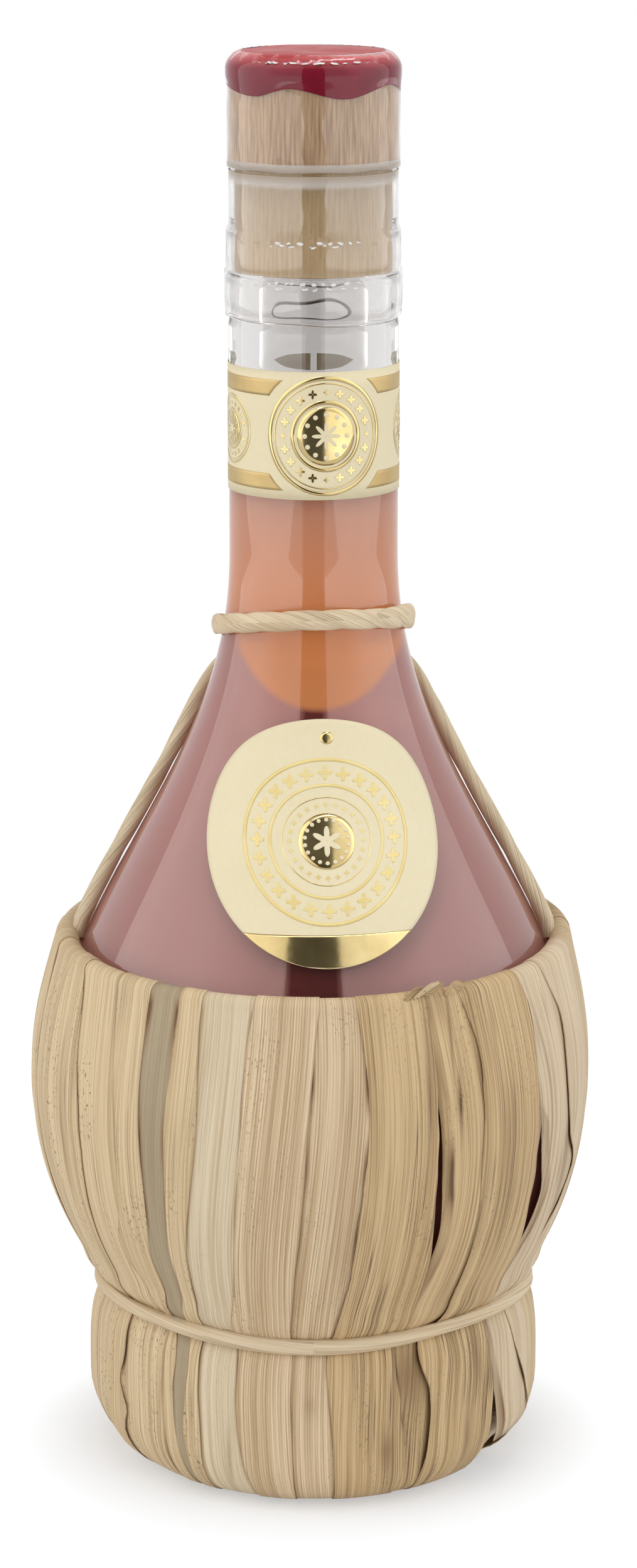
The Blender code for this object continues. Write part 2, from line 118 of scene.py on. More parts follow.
def makePiece(name, patches, look, body="root", stands=(), wall=0.0):
    # Joins grids of points into one mesh whose faces look away from the bottle's axis, and gives it a wall.
    faces, start = [], 0
    for patch in patches:
        rows, columns = patch["at"].shape[:2]
        index = np.arange(rows * columns).reshape(rows, columns) + start
        corners = (index[:-1, :-1], index[1:, :-1], index[1:, 1:], index[:-1, 1:])
        faces.append(np.stack(corners, axis=-1).reshape(-1, 4))
        start += rows * columns
    faces = np.concatenate(faces)
    points = np.concatenate([patch["at"].reshape(-1, 3) for patch in patches]) * mm
    corner = points[faces]
    normal = np.cross(corner[:, 2] - corner[:, 0], corner[:, 3] - corner[:, 1])
    if (normal[:, :2] * corner.mean(axis=1)[:, :2]).sum() < 0:
        faces = faces[:, ::-1]
    mesh = bpy.data.meshes.new(name)
    mesh.from_pydata(points, [], faces.tolist())
    uvs = np.concatenate([patch["uv"].reshape(-1, 2) for patch in patches])
    mesh.uv_layers.new(name="UVMap").data.foreach_set("uv", uvs[faces.ravel()].astype(np.float32).ravel())
    for label in ("paint", "haze"):
        if label == "paint" or label in patches[0]:
            value = [patch.get(label, np.zeros(patch["at"].shape[:2])).ravel() for patch in patches]
            mesh.attributes.new(label, "FLOAT", "POINT").data.foreach_set("value", np.concatenate(value))
    work = bmesh.new()
    work.from_mesh(mesh)
    bmesh.ops.remove_doubles(work, verts=work.verts, dist=mergeReach)
    work.to_mesh(mesh)
    work.free()
    mesh.shade_smooth()
    mesh.materials.append(look)
    piece = newObject(name, mesh)
    if wall:
        solid = piece.modifiers.new("Wall", "SOLIDIFY")
        solid.thickness = wall * mm
        solid.offset = 1
    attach(piece, body)
    if stands:
        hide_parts(*stands)
    return piece


def plug(node, key, value):
    # Gives an input a value, a colour as (red, green, blue) or another node's output.
    socket = node.inputs[key]
    if isinstance(value, bpy.types.NodeSocket):
        node.id_data.links.new(value, socket)
    else:
        socket.default_value = (*value, 1) if socket.type == "RGBA" else value


def add(tree, kind, wires=None, **settings):
    # One node, with its settings and then its inputs.
    node = tree.nodes.new("ShaderNode" + kind)
    for key, value in settings.items():
        setattr(node, key, value)
    for key, value in (wires or {}).items():
        plug(node, key, value)
    return node


def calc(operation, *values, clamp=False):
    # One step of arithmetic on numbers and outputs, in the node tree of the first output.
    tree = next(value.id_data for value in values if isinstance(value, bpy.types.NodeSocket))
    return add(tree, "Math", dict(enumerate(values)), operation=operation, use_clamp=clamp).outputs[0]


def times(first, second, clamp=False):
    return calc("MULTIPLY", first, second, clamp=clamp)


def minus(first, second, clamp=False):
    return calc("SUBTRACT", first, second, clamp=clamp)


def scaled(value, factor, plus, clamp=False):
    # The value times the factor, plus an amount.
    return calc("MULTIPLY_ADD", value, factor, plus, clamp=clamp)


def ramp(value, low, high):
    # A straight rise from 0 at low to 1 at high.
    wires = {"Value": value, "From Min": low, "From Max": high}
    return add(value.id_data, "MapRange", wires, clamp=True).outputs[0]


def blendColour(share, first, second):
    # From the first colour at 0 to the second at 1.
    return add(share.id_data, "Mix", {0: share, 6: first, 7: second}, data_type="RGBA").outputs[2]


def noiseAt(place, scale, detail):
    noise = add(place.id_data, "TexNoise", {"Vector": place, "Scale": scale, "Detail": detail})
    return noise.outputs["Fac"]


def streaks(place, scale, detail=2.0, seed=0.0):
    # Noise stretched by a scale for each axis.
    spread = {"Vector": place, "Scale": scale, "Location": (seed, seed * 0.7, seed * 0.3)}
    return noiseAt(add(place.id_data, "Mapping", spread).outputs[0], 1.0, detail)


def objectPlace(tree):
    return add(tree, "TexCoord").outputs["Object"]


def surfacePlace(tree):
    return add(tree, "UVMap", uv_map="UVMap").outputs[0]


def attribute(tree, name):
    return add(tree, "Attribute", attribute_name=name).outputs["Fac"]


def newGroup(name, inputs):
    # A node group with these inputs, as label: kind, that puts out a colour, a roughness and a height.
    tree = bpy.data.node_groups.new(name, "ShaderNodeTree")
    outputs = {"Color": "Color", "Roughness": "Float", "Height": "Float"}
    for way, sockets in (("INPUT", inputs), ("OUTPUT", outputs)):
        for label, kind in sockets.items():
            tree.interface.new_socket(name=label, in_out=way, socket_type="NodeSocket" + kind)
    return tree, tree.nodes.new("NodeGroupInput").outputs, tree.nodes.new("NodeGroupOutput")


def newMaterial(name, sockets):
    made = bpy.data.materials.new(name)
    made.use_nodes = True
    shader = made.node_tree.nodes["Principled BSDF"]
    for key, value in sockets.items():
        plug(shader, key, value)
    return made, made.node_tree, shader


def bumpFrom(shader, height, distance, strength=1.0):
    # Bump from a height, with its distance in millimetres.
    node = add(shader.id_data, "Bump", {"Height": height, "Distance": distance * mm, "Strength": strength})
    plug(shader, "Normal", node.outputs[0])


def dress(shader, colour, rough, height, bump):
    plug(shader, "Base Color", colour)
    plug(shader, "Roughness", rough)
    bumpFrom(shader, height, bump)


def dressFrom(shader, group, values, bump):
    # Colour, roughness and bump from a node group that is given these values.
    outs = add(shader.id_data, "Group", values, node_tree=group).outputs
    dress(shader, outs["Color"], outs["Roughness"], outs["Height"], bump)


def clearToShadows(shader, tint):
    # Clear pieces let shadow rays straight through, dimmed by a tint.
    tree = shader.id_data
    through = add(tree, "BsdfTransparent", {"Color": tint}).outputs[0]
    isShadow = add(tree, "LightPath").outputs["Is Shadow Ray"]
    mix = add(tree, "MixShader", {0: isShadow, 1: shader.outputs[0], 2: through})
    plug(tree.nodes["Material Output"], 0, mix.outputs[0])


def makeFibreGroup():
    # Long fibres of dry leaf: fine to broad streaks, optional even ribs, wandering cracks and specks.
    tree, ins, outs = newGroup("leafFibres", {
        "Vector": "Vector", "Seed": "Float", "Light": "Color", "Dark": "Color", "Ribs": "Float",
        "Pitch": "Float", "Cracks": "Float", "Specks": "Float", "StainAndShade": "Float"})
    offset = add(tree, "CombineXYZ", {0: ins["Seed"], 1: ins["Seed"], 2: ins["Seed"]}).outputs[0]
    place = add(tree, "VectorMath", {0: ins["Vector"], 1: offset}, operation="ADD").outputs[0]
    fine = streaks(place, (42, 0.3, 1), 3.0)
    thread = streaks(place, (21, 0.1, 1), 1.0, 51.0)
    middle = streaks(place, (9, 0.1, 1), 2.0, 3.1)
    broad = streaks(place, (1.8, 0.14, 1), 1.0, 7.7)
    across = add(tree, "SeparateXYZ", {0: ins["Vector"]}).outputs[0]
    phase = scaled(middle, 0.36, calc("DIVIDE", across, ins["Pitch"]))
    rib = calc("SINE", times(phase, 6.2832))
    # A rib's line is the top part of its wave, stronger where the fine streaks are dark.
    ribbed = times(ramp(rib, 0.2, 1.0), times(ins["Ribs"], minus(1.35, fine)))
    tone = 0.56
    for layer, weight in ((fine, 2.5), (thread, 1.5), (middle, 0.9), (broad, 1.0)):
        tone = scaled(minus(layer, 0.5), weight, tone)
    colour = blendColour(scaled(ribbed, -0.42, tone, clamp=True), ins["Dark"], ins["Light"])
    # A crack is a thin line where a stretched noise crosses its middle value, kept where another is high.
    crack = 0.0
    for scale, seed, wide, least in (((6.5, 0.05, 1), 12.3, 0.012, 0.47), ((15, 0.07, 1), 17.9, 0.022, 0.5)):
        line = calc("ABSOLUTE", minus(streaks(place, scale, 1.0, seed), 0.5))
        thin = minus(1.0, ramp(line, 0.002, wide), clamp=True)
        where = ramp(streaks(place, (2.2, 0.4, 1), 1.0, seed + 9), least, least + 0.13)
        crack = calc("MAXIMUM", crack, times(thin, where))
    crack = times(crack, ins["Cracks"], clamp=True)
    colour = blendColour(crack, colour, (0.19, 0.11, 0.055))
    # Specks of mildew come in clusters.
    speck = ramp(streaks(place, (26, 12, 1), 1.0, 31.0), 0.62, 0.70)
    cluster = ramp(streaks(place, (1.6, 0.5, 1), 1.0, 41.0), 0.5, 0.64)
    dotted = times(times(speck, cluster), ins["Specks"], clamp=True)
    colour = blendColour(dotted, colour, (0.14, 0.095, 0.06))
    # The paint browns the fibres, for real stain and for painted shade alike.
    stainedAndShaded = times(ins["StainAndShade"], scaled(fine, 1.2, 0.2), clamp=True)
    colour = blendColour(stainedAndShaded, colour, (0.24, 0.135, 0.06))
    # Paint above 1 is painted shade deep in a seam or recess, nearly black.
    plug(outs, "Color", blendColour(ramp(ins["StainAndShade"], 1.0, 1.7), colour, (0.045, 0.028, 0.018)))
    plug(outs, "Roughness", scaled(fine, 0.3, 0.45))
    plug(outs, "Height", scaled(crack, -0.9, scaled(middle, 0.8, scaled(ribbed, -0.5, fine))))
    return tree


def makeGrainGroup():
    # Turned wood: fine upright grain with short dark pores.
    tree, ins, outs = newGroup("woodGrain", {"Vector": "Vector", "Light": "Color", "Dark": "Color"})
    place = ins["Vector"]
    grain = streaks(place, (24, 1.4, 1), 3.0)
    bands = streaks(place, (3.1, 0.5, 1), 2.0, 4.0)
    pores = ramp(streaks(place, (60, 7, 1), 1.0, 9.0), 0.66, 0.74)
    tone = scaled(minus(grain, 0.5), 2.6, bands, clamp=True)
    colour = blendColour(tone, ins["Dark"], ins["Light"])
    plug(outs, "Color", blendColour(times(pores, 0.35), colour, (0.25, 0.15, 0.08)))
    plug(outs, "Roughness", scaled(grain, 0.3, 0.4))
    plug(outs, "Height", grain)
    return tree


def makeFoilGroup():
    # Foil that is worn in soft clouds from a light to a dark tone.
    inputs = {"Vector": "Vector", "Light": "Color", "Dark": "Color", "Rough": "Float"}
    tree, ins, outs = newGroup("wornFoil", inputs)
    worn = noiseAt(ins["Vector"], 140.0, 3.0)
    plug(outs, "Color", blendColour(ramp(worn, 0.35, 0.65), ins["Dark"], ins["Light"]))
    plug(outs, "Roughness", scaled(worn, 0.1, ins["Rough"]))
    plug(outs, "Height", worn)
    return tree


fibreGroup, grainGroup, foilGroup = makeFibreGroup(), makeGrainGroup(), makeFoilGroup()


def strawMaterial(name, light, dark, ribs=0.0, pitch=0.05, cracks=0.5, specks=0.4):
    # The fibres are shifted by the piece's seed and stained by its paint, which also carries painted shade
    # at seams and in recesses.
    made, tree, shader = newMaterial(name, {"Specular IOR Level": 0.35})
    dressFrom(shader, fibreGroup, {
        "Vector": surfacePlace(tree), "Seed": attribute(tree, "seed"), "Light": light, "Dark": dark,
        "Ribs": ribs, "Pitch": pitch, "Cracks": cracks, "Specks": specks,
        "StainAndShade": attribute(tree, "paint")}, 0.12)
    return made


straw = {
    "pale": strawMaterial("pale_leaf", (0.73, 0.575, 0.36), (0.50, 0.355, 0.19), specks=0.8),
    "cream": strawMaterial("cream_leaf", (0.76, 0.645, 0.46), (0.57, 0.445, 0.28), cracks=0.3, specks=0.1),
    "peach": strawMaterial("peach_leaf", (0.74, 0.60, 0.42), (0.55, 0.41, 0.255), cracks=0.4, specks=0.1),
    "ribbed": strawMaterial("ribbed_leaf", (0.79, 0.625, 0.42), (0.50, 0.345, 0.19), 1.0, 0.048, cracks=0.2),
    "brown": strawMaterial("brown_leaf", (0.66, 0.48, 0.265), (0.38, 0.245, 0.11), cracks=0.9),
    "grey": strawMaterial("grey_leaf", (0.43, 0.345, 0.22), (0.34, 0.265, 0.165), cracks=0.05, specks=0.15),
    "cord": strawMaterial("cord_straw", (0.76, 0.63, 0.44), (0.56, 0.42, 0.26), cracks=0.5, specks=0.05),
    "dry": strawMaterial("cord_dry", (0.71, 0.585, 0.41), (0.52, 0.405, 0.25), cracks=0.6, specks=0.2),
}


def glassMaterial():
    # Clear glass with slow waves, a little greyer above the contents, where the wall is thick.
    sockets = {"Transmission Weight": 1.0, "Roughness": 0.0, "IOR": 1.5}
    made, tree, shader = newMaterial("clear_glass", sockets)
    place = objectPlace(tree)
    above = ramp(add(tree, "SeparateXYZ", {0: place}).outputs[2], 0.188, 0.192)
    plug(shader, "Base Color", blendColour(above, flask["tint"], flask["upperTint"]))
    bumpFrom(shader, noiseAt(place, 40.0, 1.0), 0.1)
    clearToShadows(shader, (0.94, 0.935, 0.93))
    return made


liquid = {
    # Painted light: orange, where light shines through, fills the neck and a round patch about (x, height) of
    # this radius; the rest is dusty rose, with a stripe of painted shade.
    "warmAt": (1.0, 152.0), "warmRadius": 13.6, "warmLow": (0.99, 0.39, 0.135),
    "warmHigh": (0.91, 0.445, 0.29),
    "rose": (0.63, 0.275, 0.24), "stripe": (0.17, 0.035, 0.03), "stripeTop": 139.0, "stripeHalf": 2.3,
    "stripeSpread": 0.06, "transmission": 0.35, "reach": 0.06, "cling": 0.9,
}


def liquidMaterial():
    # Rose liquid, with painted light in orange where light shines through, and a stripe of painted shade down
    # its middle that widens towards the basket.
    s = liquid
    made, tree, shader = newMaterial("rose_liquid", {
        "Transmission Weight": s["transmission"], "Roughness": 0.05, "IOR": 1.34})
    parts = add(tree, "SeparateXYZ", {0: objectPlace(tree)})
    x, z = (calc("DIVIDE", parts.outputs[i], mm) for i in (0, 2))
    # The share of painted light is 1 within the radius of the patch's middle, or anywhere above it.
    aside, up = minus(x, s["warmAt"][0]), minus(z, s["warmAt"][1])
    spot = add(tree, "CombineXYZ", {0: aside, 1: up}).outputs[0]
    away = add(tree, "VectorMath", {0: spot}, operation="LENGTH").outputs["Value"]
    near = minus(1.0, ramp(away, s["warmRadius"] - 0.6, s["warmRadius"] + 0.6))
    warm = calc("MAXIMUM", near, ramp(up, -0.5, 0.5))
    # Painted light: orange, paler higher up.
    orange = blendColour(ramp(up, 0.0, 22.0), s["warmLow"], s["warmHigh"])
    # The stripe of painted shade: its half width grows evenly below its top.
    half = scaled(minus(s["stripeTop"] - 6, z), s["stripeSpread"], s["stripeHalf"])
    past = minus(calc("ABSOLUTE", x), half)
    inside = times(ramp(past, 0.8, -0.8), ramp(z, s["stripeTop"] + 1, s["stripeTop"] - 1))
    # Painted shade: inside the stripe the rose turns a deep dark red.
    rose = blendColour(inside, s["rose"], s["stripe"])
    plug(shader, "Base Color", blendColour(warm, rose, orange))
    clearToShadows(shader, (0.6, 0.3, 0.28))
    return made


def filmMaterial():
    # Above zero the paint is a dark, nearly opaque line drawn on the film; below zero it calms the gloss;
    # haze makes the film milky.
    made, tree, shader = newMaterial("clear_film", {"Roughness": 0.02, "IOR": 1.35})
    paint, haze = attribute(tree, "paint"), attribute(tree, "haze")
    darkLine = ramp(paint, 0.0, 1.0)
    colour = blendColour(haze, (0.96, 0.955, 0.95), (0.44, 0.35, 0.26))
    plug(shader, "Base Color", blendColour(darkLine, colour, (0.17, 0.115, 0.085)))
    plug(shader, "Transmission Weight", minus(1.0, calc("MAXIMUM", darkLine, times(haze, 0.8))))
    plug(shader, "Specular IOR Level", scaled(ramp(paint, 0.0, -1.0), -0.33, 0.5))
    squeezed = add(tree, "Mapping", {"Vector": objectPlace(tree), "Scale": (1, 1, 0.45)}).outputs[0]
    bumpFrom(shader, noiseAt(squeezed, 300.0, 2.0), 0.05, 0.5)
    clearToShadows(shader, (0.97, 0.97, 0.97))
    return made


def waxMaterial():
    # Red wax, mottled, with painted light: a paler red where it faces up.
    made, tree, shader = newMaterial("red_wax", {"Specular IOR Level": 0.05})
    mottle = noiseAt(objectPlace(tree), 180.0, 3.0)
    colour = blendColour(ramp(mottle, 0.3, 0.7), (0.17, 0.005, 0.018), (0.235, 0.010, 0.03))
    # Painted light: how far each face looks up, which blends the red towards a paler red.
    paintedTopLight = add(tree, "SeparateXYZ", {0: add(tree, "TexCoord").outputs["Normal"]}).outputs[2]
    colour = blendColour(ramp(paintedTopLight, 0.3, 0.95), colour, (0.44, 0.07, 0.07))
    dress(shader, colour, scaled(mottle, 0.25, 0.25), mottle, 0.2)
    return made


def woodMaterial(name, light, dark, bump):
    made, tree, shader = newMaterial(name, {"Specular IOR Level": 0.3})
    dressFrom(shader, grainGroup, {"Vector": surfacePlace(tree), "Light": light, "Dark": dark}, bump)
    return made


def paperMaterial():
    # Cream paper: soft clouds with fine fibre in them.
    made, tree, shader = newMaterial("cream_paper", {"Specular IOR Level": 0.35})
    place = objectPlace(tree)
    fibre = noiseAt(place, 900.0, 3.0)
    tone = scaled(minus(fibre, 0.5), 0.8, noiseAt(place, 60.0, 2.0), clamp=True)
    colour = blendColour(tone, (0.75, 0.655, 0.425), (0.81, 0.72, 0.50))
    dress(shader, colour, scaled(fibre, 0.3, 0.4), fibre, 0.03)
    return made


def foilMaterial(name, light, dark, rough, metal):
    made, tree, shader = newMaterial(name, {"Metallic": metal, "Roughness": rough})
    values = {"Vector": objectPlace(tree), "Light": light, "Dark": dark, "Rough": rough}
    dressFrom(shader, foilGroup, values, 0.05)
    return made


glassLook = glassMaterial()
liquidLook = liquidMaterial()
filmLook = filmMaterial()
# Painted glint: the sharp creases of film are white and half clear, standing in for the lamp's sparkle on
# them.
glintLook = newMaterial("film_painted_glint", {
    "Base Color": (0.95, 0.95, 0.94), "Roughness": 0.2, "Transmission Weight": 0.45,
    "Specular IOR Level": 0.9})[0]
waxLook = waxMaterial()
birchLook = woodMaterial("birch_wood", (0.51, 0.345, 0.21), (0.26, 0.153, 0.082), 0.04)
shankLook = woodMaterial("cork", (0.93, 0.69, 0.40), (0.75, 0.515, 0.27), 0.08)
paperLook = paperMaterial()
goldLook = foilMaterial("gold_foil", (0.62, 0.49, 0.24), (0.50, 0.38, 0.17), 0.07, 1.0)
stripeLook = foilMaterial("stripe_foil", (0.50, 0.37, 0.165), (0.42, 0.30, 0.125), 0.38, 0.75)
paleGoldLook = foilMaterial("pale_gold_print", (0.80, 0.66, 0.30), (0.72, 0.56, 0.22), 0.45, 0.2)
print("stage: materials made")


studio = {
    "cameraAt": (0.00085, -0.787, 0.309), "cameraPitch": 13.4, "lens": 105.12,
    "floorSize": 12.0, "skyStrength": 0.12,
    # What gloss sees between the two lamps, the slope of that gap on the floor, and how white the floor is
    # to the camera under the bottle, from the first to the second distance in metres.
    "frontShine": 0.12, "gapSlope": 0.27, "nearShare": 0.45, "nearTo": (0.036, 0.052),
    # name: place and aim in metres, size, power in watts, colour
    "lamps": {
        "left_softbox": ((-0.725, -0.338, 0.85), (0, 0, 0.85), (1.9, 1.8), 14.0, (1.0, 0.99, 0.98)),
        "right_softbox": ((0.725, -0.338, 0.85), (0, 0, 0.85), (1.9, 1.8), 13.0, (0.98, 0.99, 1.0)),
        "top_lamp": ((0.05, -0.05, 1.1), (0, 0, 0.12), (0.9, 0.14), 2.8, (1.0, 1.0, 1.0)),
    },
}


def whiteToCamera(plain, share, front):
    # Rays from the camera, through glass or off gloss see white mixed in; off gloss it is nearly dark at the
    # front, between the two lamps.
    tree = plain.id_data
    paths = add(tree, "LightPath").outputs
    seen = calc("MAXIMUM", paths["Is Camera Ray"], paths["Is Transmission Ray"])
    seen = calc("MAXIMUM", seen, paths["Is Glossy Ray"])
    strength = scaled(paths["Is Glossy Ray"], times(front, studio["frontShine"] - 1), 1.0)
    white = add(tree, "Emission" if tree.nodes.get("Material Output") else "Background",
                {"Color": (1, 1, 1), "Strength": strength})
    return add(tree, "MixShader", {0: times(seen, share), 1: plain, 2: white.outputs[0]}).outputs[0]


def makeCamera():
    data = bpy.data.cameras.new("camera")
    data.lens = studio["lens"]
    data.sensor_width = 36
    camera = newObject("camera", data)
    camera.location = studio["cameraAt"]
    camera.rotation_euler = (np.radians(90 - studio["cameraPitch"]), 0, 0)
    bpy.context.scene.camera = camera


def makeLamp(name, place, aim, size, power, colour):
    data = bpy.data.lights.new(name, "AREA")
    data.shape = "RECTANGLE"
    data.size, data.size_y = size
    data.energy = power
    data.color = colour
    lamp = newObject(name, data)
    lamp.location = place
    lamp.rotation_euler = (Vector(aim) - lamp.location).to_track_quat("-Z", "Y").to_euler()


def makeWorld():
    world = bpy.data.worlds.new("studio")
    bpy.context.scene.world = world
    world.use_nodes = True
    tree = world.node_tree
    sky = tree.nodes["Background"]
    plug(sky, "Color", (0.97, 0.98, 1))
    plug(sky, "Strength", studio["skyStrength"])
    toward = add(tree, "SeparateXYZ", {0: add(tree, "TexCoord").outputs["Generated"]})
    front = ramp(times(toward.outputs[1], -1.0), 0.35, 0.75)
    plug(tree.nodes["World Output"], 0, whiteToCamera(sky.outputs[0], 1.0, front))


def makeFloor():
    half = studio["floorSize"] / 2
    mesh = bpy.data.meshes.new("floor")
    spots = [(-half, -half, 0), (half, -half, 0), (half, half, 0), (-half, half, 0)]
    mesh.from_pydata(spots, [], [(0, 1, 2, 3)])
    newObject("floor", mesh)
    made, tree, shader = newMaterial("pale_floor", {
        "Base Color": (0.9, 0.9, 0.9), "Roughness": 0.9, "Specular IOR Level": 0.0})
    mesh.materials.append(made)
    place = objectPlace(tree)
    away = add(tree, "VectorMath", {0: place}, operation="LENGTH").outputs["Value"]
    share = scaled(ramp(away, *studio["nearTo"]), 1 - studio["nearShare"], studio["nearShare"])
    # To gloss the floor is dark inside a wedge between the two lamps that opens towards the camera.
    parts = add(tree, "SeparateXYZ", {0: place})
    ahead = times(parts.outputs[1], -1.0)
    beside = scaled(ahead, -studio["gapSlope"], calc("ABSOLUTE", parts.outputs[0]))
    front = times(ramp(ahead, 0.25, 0.6), ramp(beside, 0.02, -0.02))
    plug(tree.nodes["Material Output"], 0, whiteToCamera(shader.outputs[0], share, front))


bpy.context.scene.view_settings.view_transform = "Standard"
makeCamera()
for name, lamp in studio["lamps"].items():
    makeLamp(name, *lamp)
makeWorld()
makeFloor()
print("stage: studio set")


def shellRadius(height, inset=0.0, base=0.0):
    # The flask's radius: a cosine power from belly to neck, and a squared circle from belly to base.
    wide, narrow = flask["bellyRadius"] - inset, flask["neckRadius"] - inset
    rise = np.clip((height - flask["bellyHeight"]) / (flask["neckFoot"] - flask["bellyHeight"]), 0, 1)
    shoulder = narrow + (wide - narrow) * np.cos(np.pi / 2 * rise) ** (2 * flask["shoulderPower"])
    drop = np.clip((flask["bellyHeight"] - height) / (flask["bellyHeight"] - base), 0, 1)
    turn = np.arcsin(drop ** (flask["dropPower"] / 2))
    return np.where(height > flask["bellyHeight"], shoulder, wide * np.cos(turn) ** (2 / flask["drawPower"]))


def finishRadius(height, bridge=0.0):
    # The neck's finish: the lip's band with a ring and a bead on it, and the plain neck below.
    swell = 0
    for name in ("ring", "bead"):
        across = (height - flask[name + "Height"]) / (flask[name + "Half"] + bridge)
        swell = swell + flask[name + "Swell"] * np.sqrt(1 - np.clip(np.abs(across), 0, 1) ** 3)
    base = flask["neckRadius"] - flask["lipInset"] * smooth(height, *flask["bandFrom"])
    return np.where(height < flask["finishFrom"], shellRadius(height), base + swell)


def shellProfile(inset, base, count=70):
    # The lower flask from the neck's foot to the axis, close-set where it turns under.
    upper = np.linspace(flask["neckFoot"], flask["bellyHeight"], count)
    turn = np.linspace(0, np.pi / 2, count)[1:]
    lower = flask["bellyHeight"] - (flask["bellyHeight"] - base) * np.sin(turn) ** (2 / flask["dropPower"])
    height = np.concatenate([upper, lower])
    radius = shellRadius(height, inset, base)
    radius[-1] = 0
    return np.stack([radius, height], axis=-1)


def buildGlass():
    # One closed profile: up the inner wall and bore, round the lip and down the outside.
    tall = lipTop - lift
    turn = np.linspace(np.pi / 2, 0, 8)
    edge = flask["lipEdge"]
    lip = np.stack([flask["neckRadius"] - flask["lipInset"] - edge + edge * np.cos(turn),
                    tall - edge + edge * np.sin(turn)], -1)
    height = np.linspace(tall - edge, flask["joinAt"], 120)[1:]
    neck = np.stack([finishRadius(height), height], -1)
    outer = np.concatenate([lip, neck, shellProfile(0, 0)])
    throat = tall - flask["boreDepth"]
    height = np.linspace(tall, throat - flask["flare"], 40)
    wide = flask["neckRadius"] - flask["wall"]
    bore = flask["boreRadius"] + (wide - flask["boreRadius"]) * smooth(throat - height, 0, flask["flare"])
    wider, depth = flask["mouth"]
    bore = bore + wider * (1 - smooth(tall - height, 0, depth))
    inner = np.concatenate([np.stack([bore, height], -1), shellProfile(flask["wall"], flask["floor"])])
    profile = np.concatenate([inner[::-1], outer])
    profile[:, 1] += lift
    makePiece("flask_glass", [revolve(profile, flask["turns"])], glassLook,
              stands=["glass_flask"])


def buildLiquid():
    # The liquid reaches a hair into the wall, so that no film of air shows, and its surface clings there.
    inset, base = flask["wall"] - liquid["reach"], flask["floor"] - liquid["reach"]
    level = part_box("rose_liquid")[1].z / mm - lift
    wide = flask["neckRadius"] - inset
    across = np.linspace(0, 1, 24)
    surface = np.stack([across * wide, level + liquid["cling"] * across**14], -1)
    side = np.linspace(level + liquid["cling"], flask["neckFoot"], 30)[1:]
    column = np.stack([np.full(len(side), wide), side], -1)
    profile = np.concatenate([surface, column, shellProfile(inset, base)])
    profile[:, 1] += lift
    makePiece("liquid_body", [revolve(profile, 96)], liquidLook, stands=["rose_liquid"])


buildGlass()
buildLiquid()
print("stage: glass and liquid made")


stopper = {
    "seat": 0.05, "headRadius": 14.6, "headTall": 18.7, "headEdge": 2.4, "headFoot": 0.25,
    "shankRadius": 8.99, "shankLong": 18.5, "shankEdge": 1.0, "spigotRadius": 6.0, "spigotLong": 6.0,
    "spigotAir": 0.3, "waxGap": 0.02, "waxWall": 0.23, "waxSkirt": 5.8, "waxBulge": 0.2, "bulgeDrop": 3.0,
    "bulgeHalf": 1.9, "dome": 0.5, "dimples": 0.12,
}
# The wax's lower edge, as angle: height above or below its middle.
waxEdge = {-180: 0.3, -150: -0.7, -120: 0.7, -90: 0.63, -42: -0.71, -15.7: 0.81, 20.5: -0.98, 59.5: 0.96,
           90: -0.74, 125: 0.6, 155: -0.7, 180: 0.3}
film = {
    "wall": 0.08, "overlap": 0.02, "opening": 12.9, "reach": 14.95, "hemDrop": 0.3, "hemWave": 0.12,
    # Over the head: the pleats' height, how far below the top they lie and their half height, how far the
    # film sinks and swells below the wax, and the edge's crease, which carries a painted glint, as (seed,
    # height, share kept, end angle).
    "pleats": 0.1, "pleatDrop": 0.6, "pleatHalf": 0.9, "sink": 0.09, "loose": 0.05,
    "edgeCrease": (60, 0.28, 0.2, 42),
    # How milky the film is at the hem over the lip and at the top of the piece below it.
    "upperHaze": 0.8, "lowerHaze": 0.9,
    # Over the neck: clearance, slack, the hem's ripple and its fall at the back.
    "neckOff": 0.17, "slack": 0.06, "crinkle": 0.02, "hemRipple": 0.5, "hemFall": 0.9,
    # The hem's rolled edge as (out, height, half height), soft ridges' rise and their (height, half width).
    "rolled": (0.16, 0.35, 0.3), "ridgeRise": 0.2, "ridges": ((209.3, 0.5), (202.2, 0.55)),
    # Sharp creases, which carry a painted glint, as (seed, height, width), their distance out, share kept and
    # end angle.
    "creases": ((70, 209.0, 0.5), (74, 208.5, 0.3), (80, 202.1, 0.5), (90, 201.3, 0.4)),
    "creaseOff": 0.48, "creaseShare": -0.05, "creaseFront": 36, "creaseWall": 0.03,
    # The dark line along the hem at the back fades in between these angles.
    "darkHem": (130, 142),
}


def readWave(wave, degrees):
    # The height at each angle, with a level step from each knot to the next.
    angles = np.array(sorted(wave), float)
    heights = np.array([wave[a] for a in sorted(wave)])
    index = np.clip(np.searchsorted(angles, degrees) - 1, 0, len(angles) - 2)
    share = smooth((degrees - angles[index]) / (angles[index + 1] - angles[index]))
    return heights[index] + (heights[index + 1] - heights[index]) * share


def ringRipple(seed, count, slowest, fastest, turn, along=0.0):
    # Like ripple, but with a whole number of waves round the ring, so that no seam shows where it closes.
    draw = np.random.default_rng(seed)
    total = 0
    for _ in range(count):
        pace, rise = draw.integers(slowest, fastest + 1), draw.uniform(-1, 1)
        start = draw.uniform(0, 2 * np.pi)
        total = total + np.sin(pace * turn + rise * along + start)
    return total / np.sqrt(count) / 1.2


def cap(radius, top, edge, foot, inside=0.0, count=10):
    # A profile from the top's middle, or from inside, round the edge and down a straight side.
    turn = np.linspace(np.pi / 2, 0, count)
    flat = np.linspace(inside, radius - edge, 12)[:-1]
    side = np.linspace(top - edge, foot, 24)[1:]
    return np.concatenate([
        np.stack([flat, np.full(len(flat), top)], -1),
        np.stack([radius - edge + edge * np.cos(turn), top - edge + edge * np.sin(turn)], -1),
        np.stack([np.full(len(side), radius), side], -1),
    ])


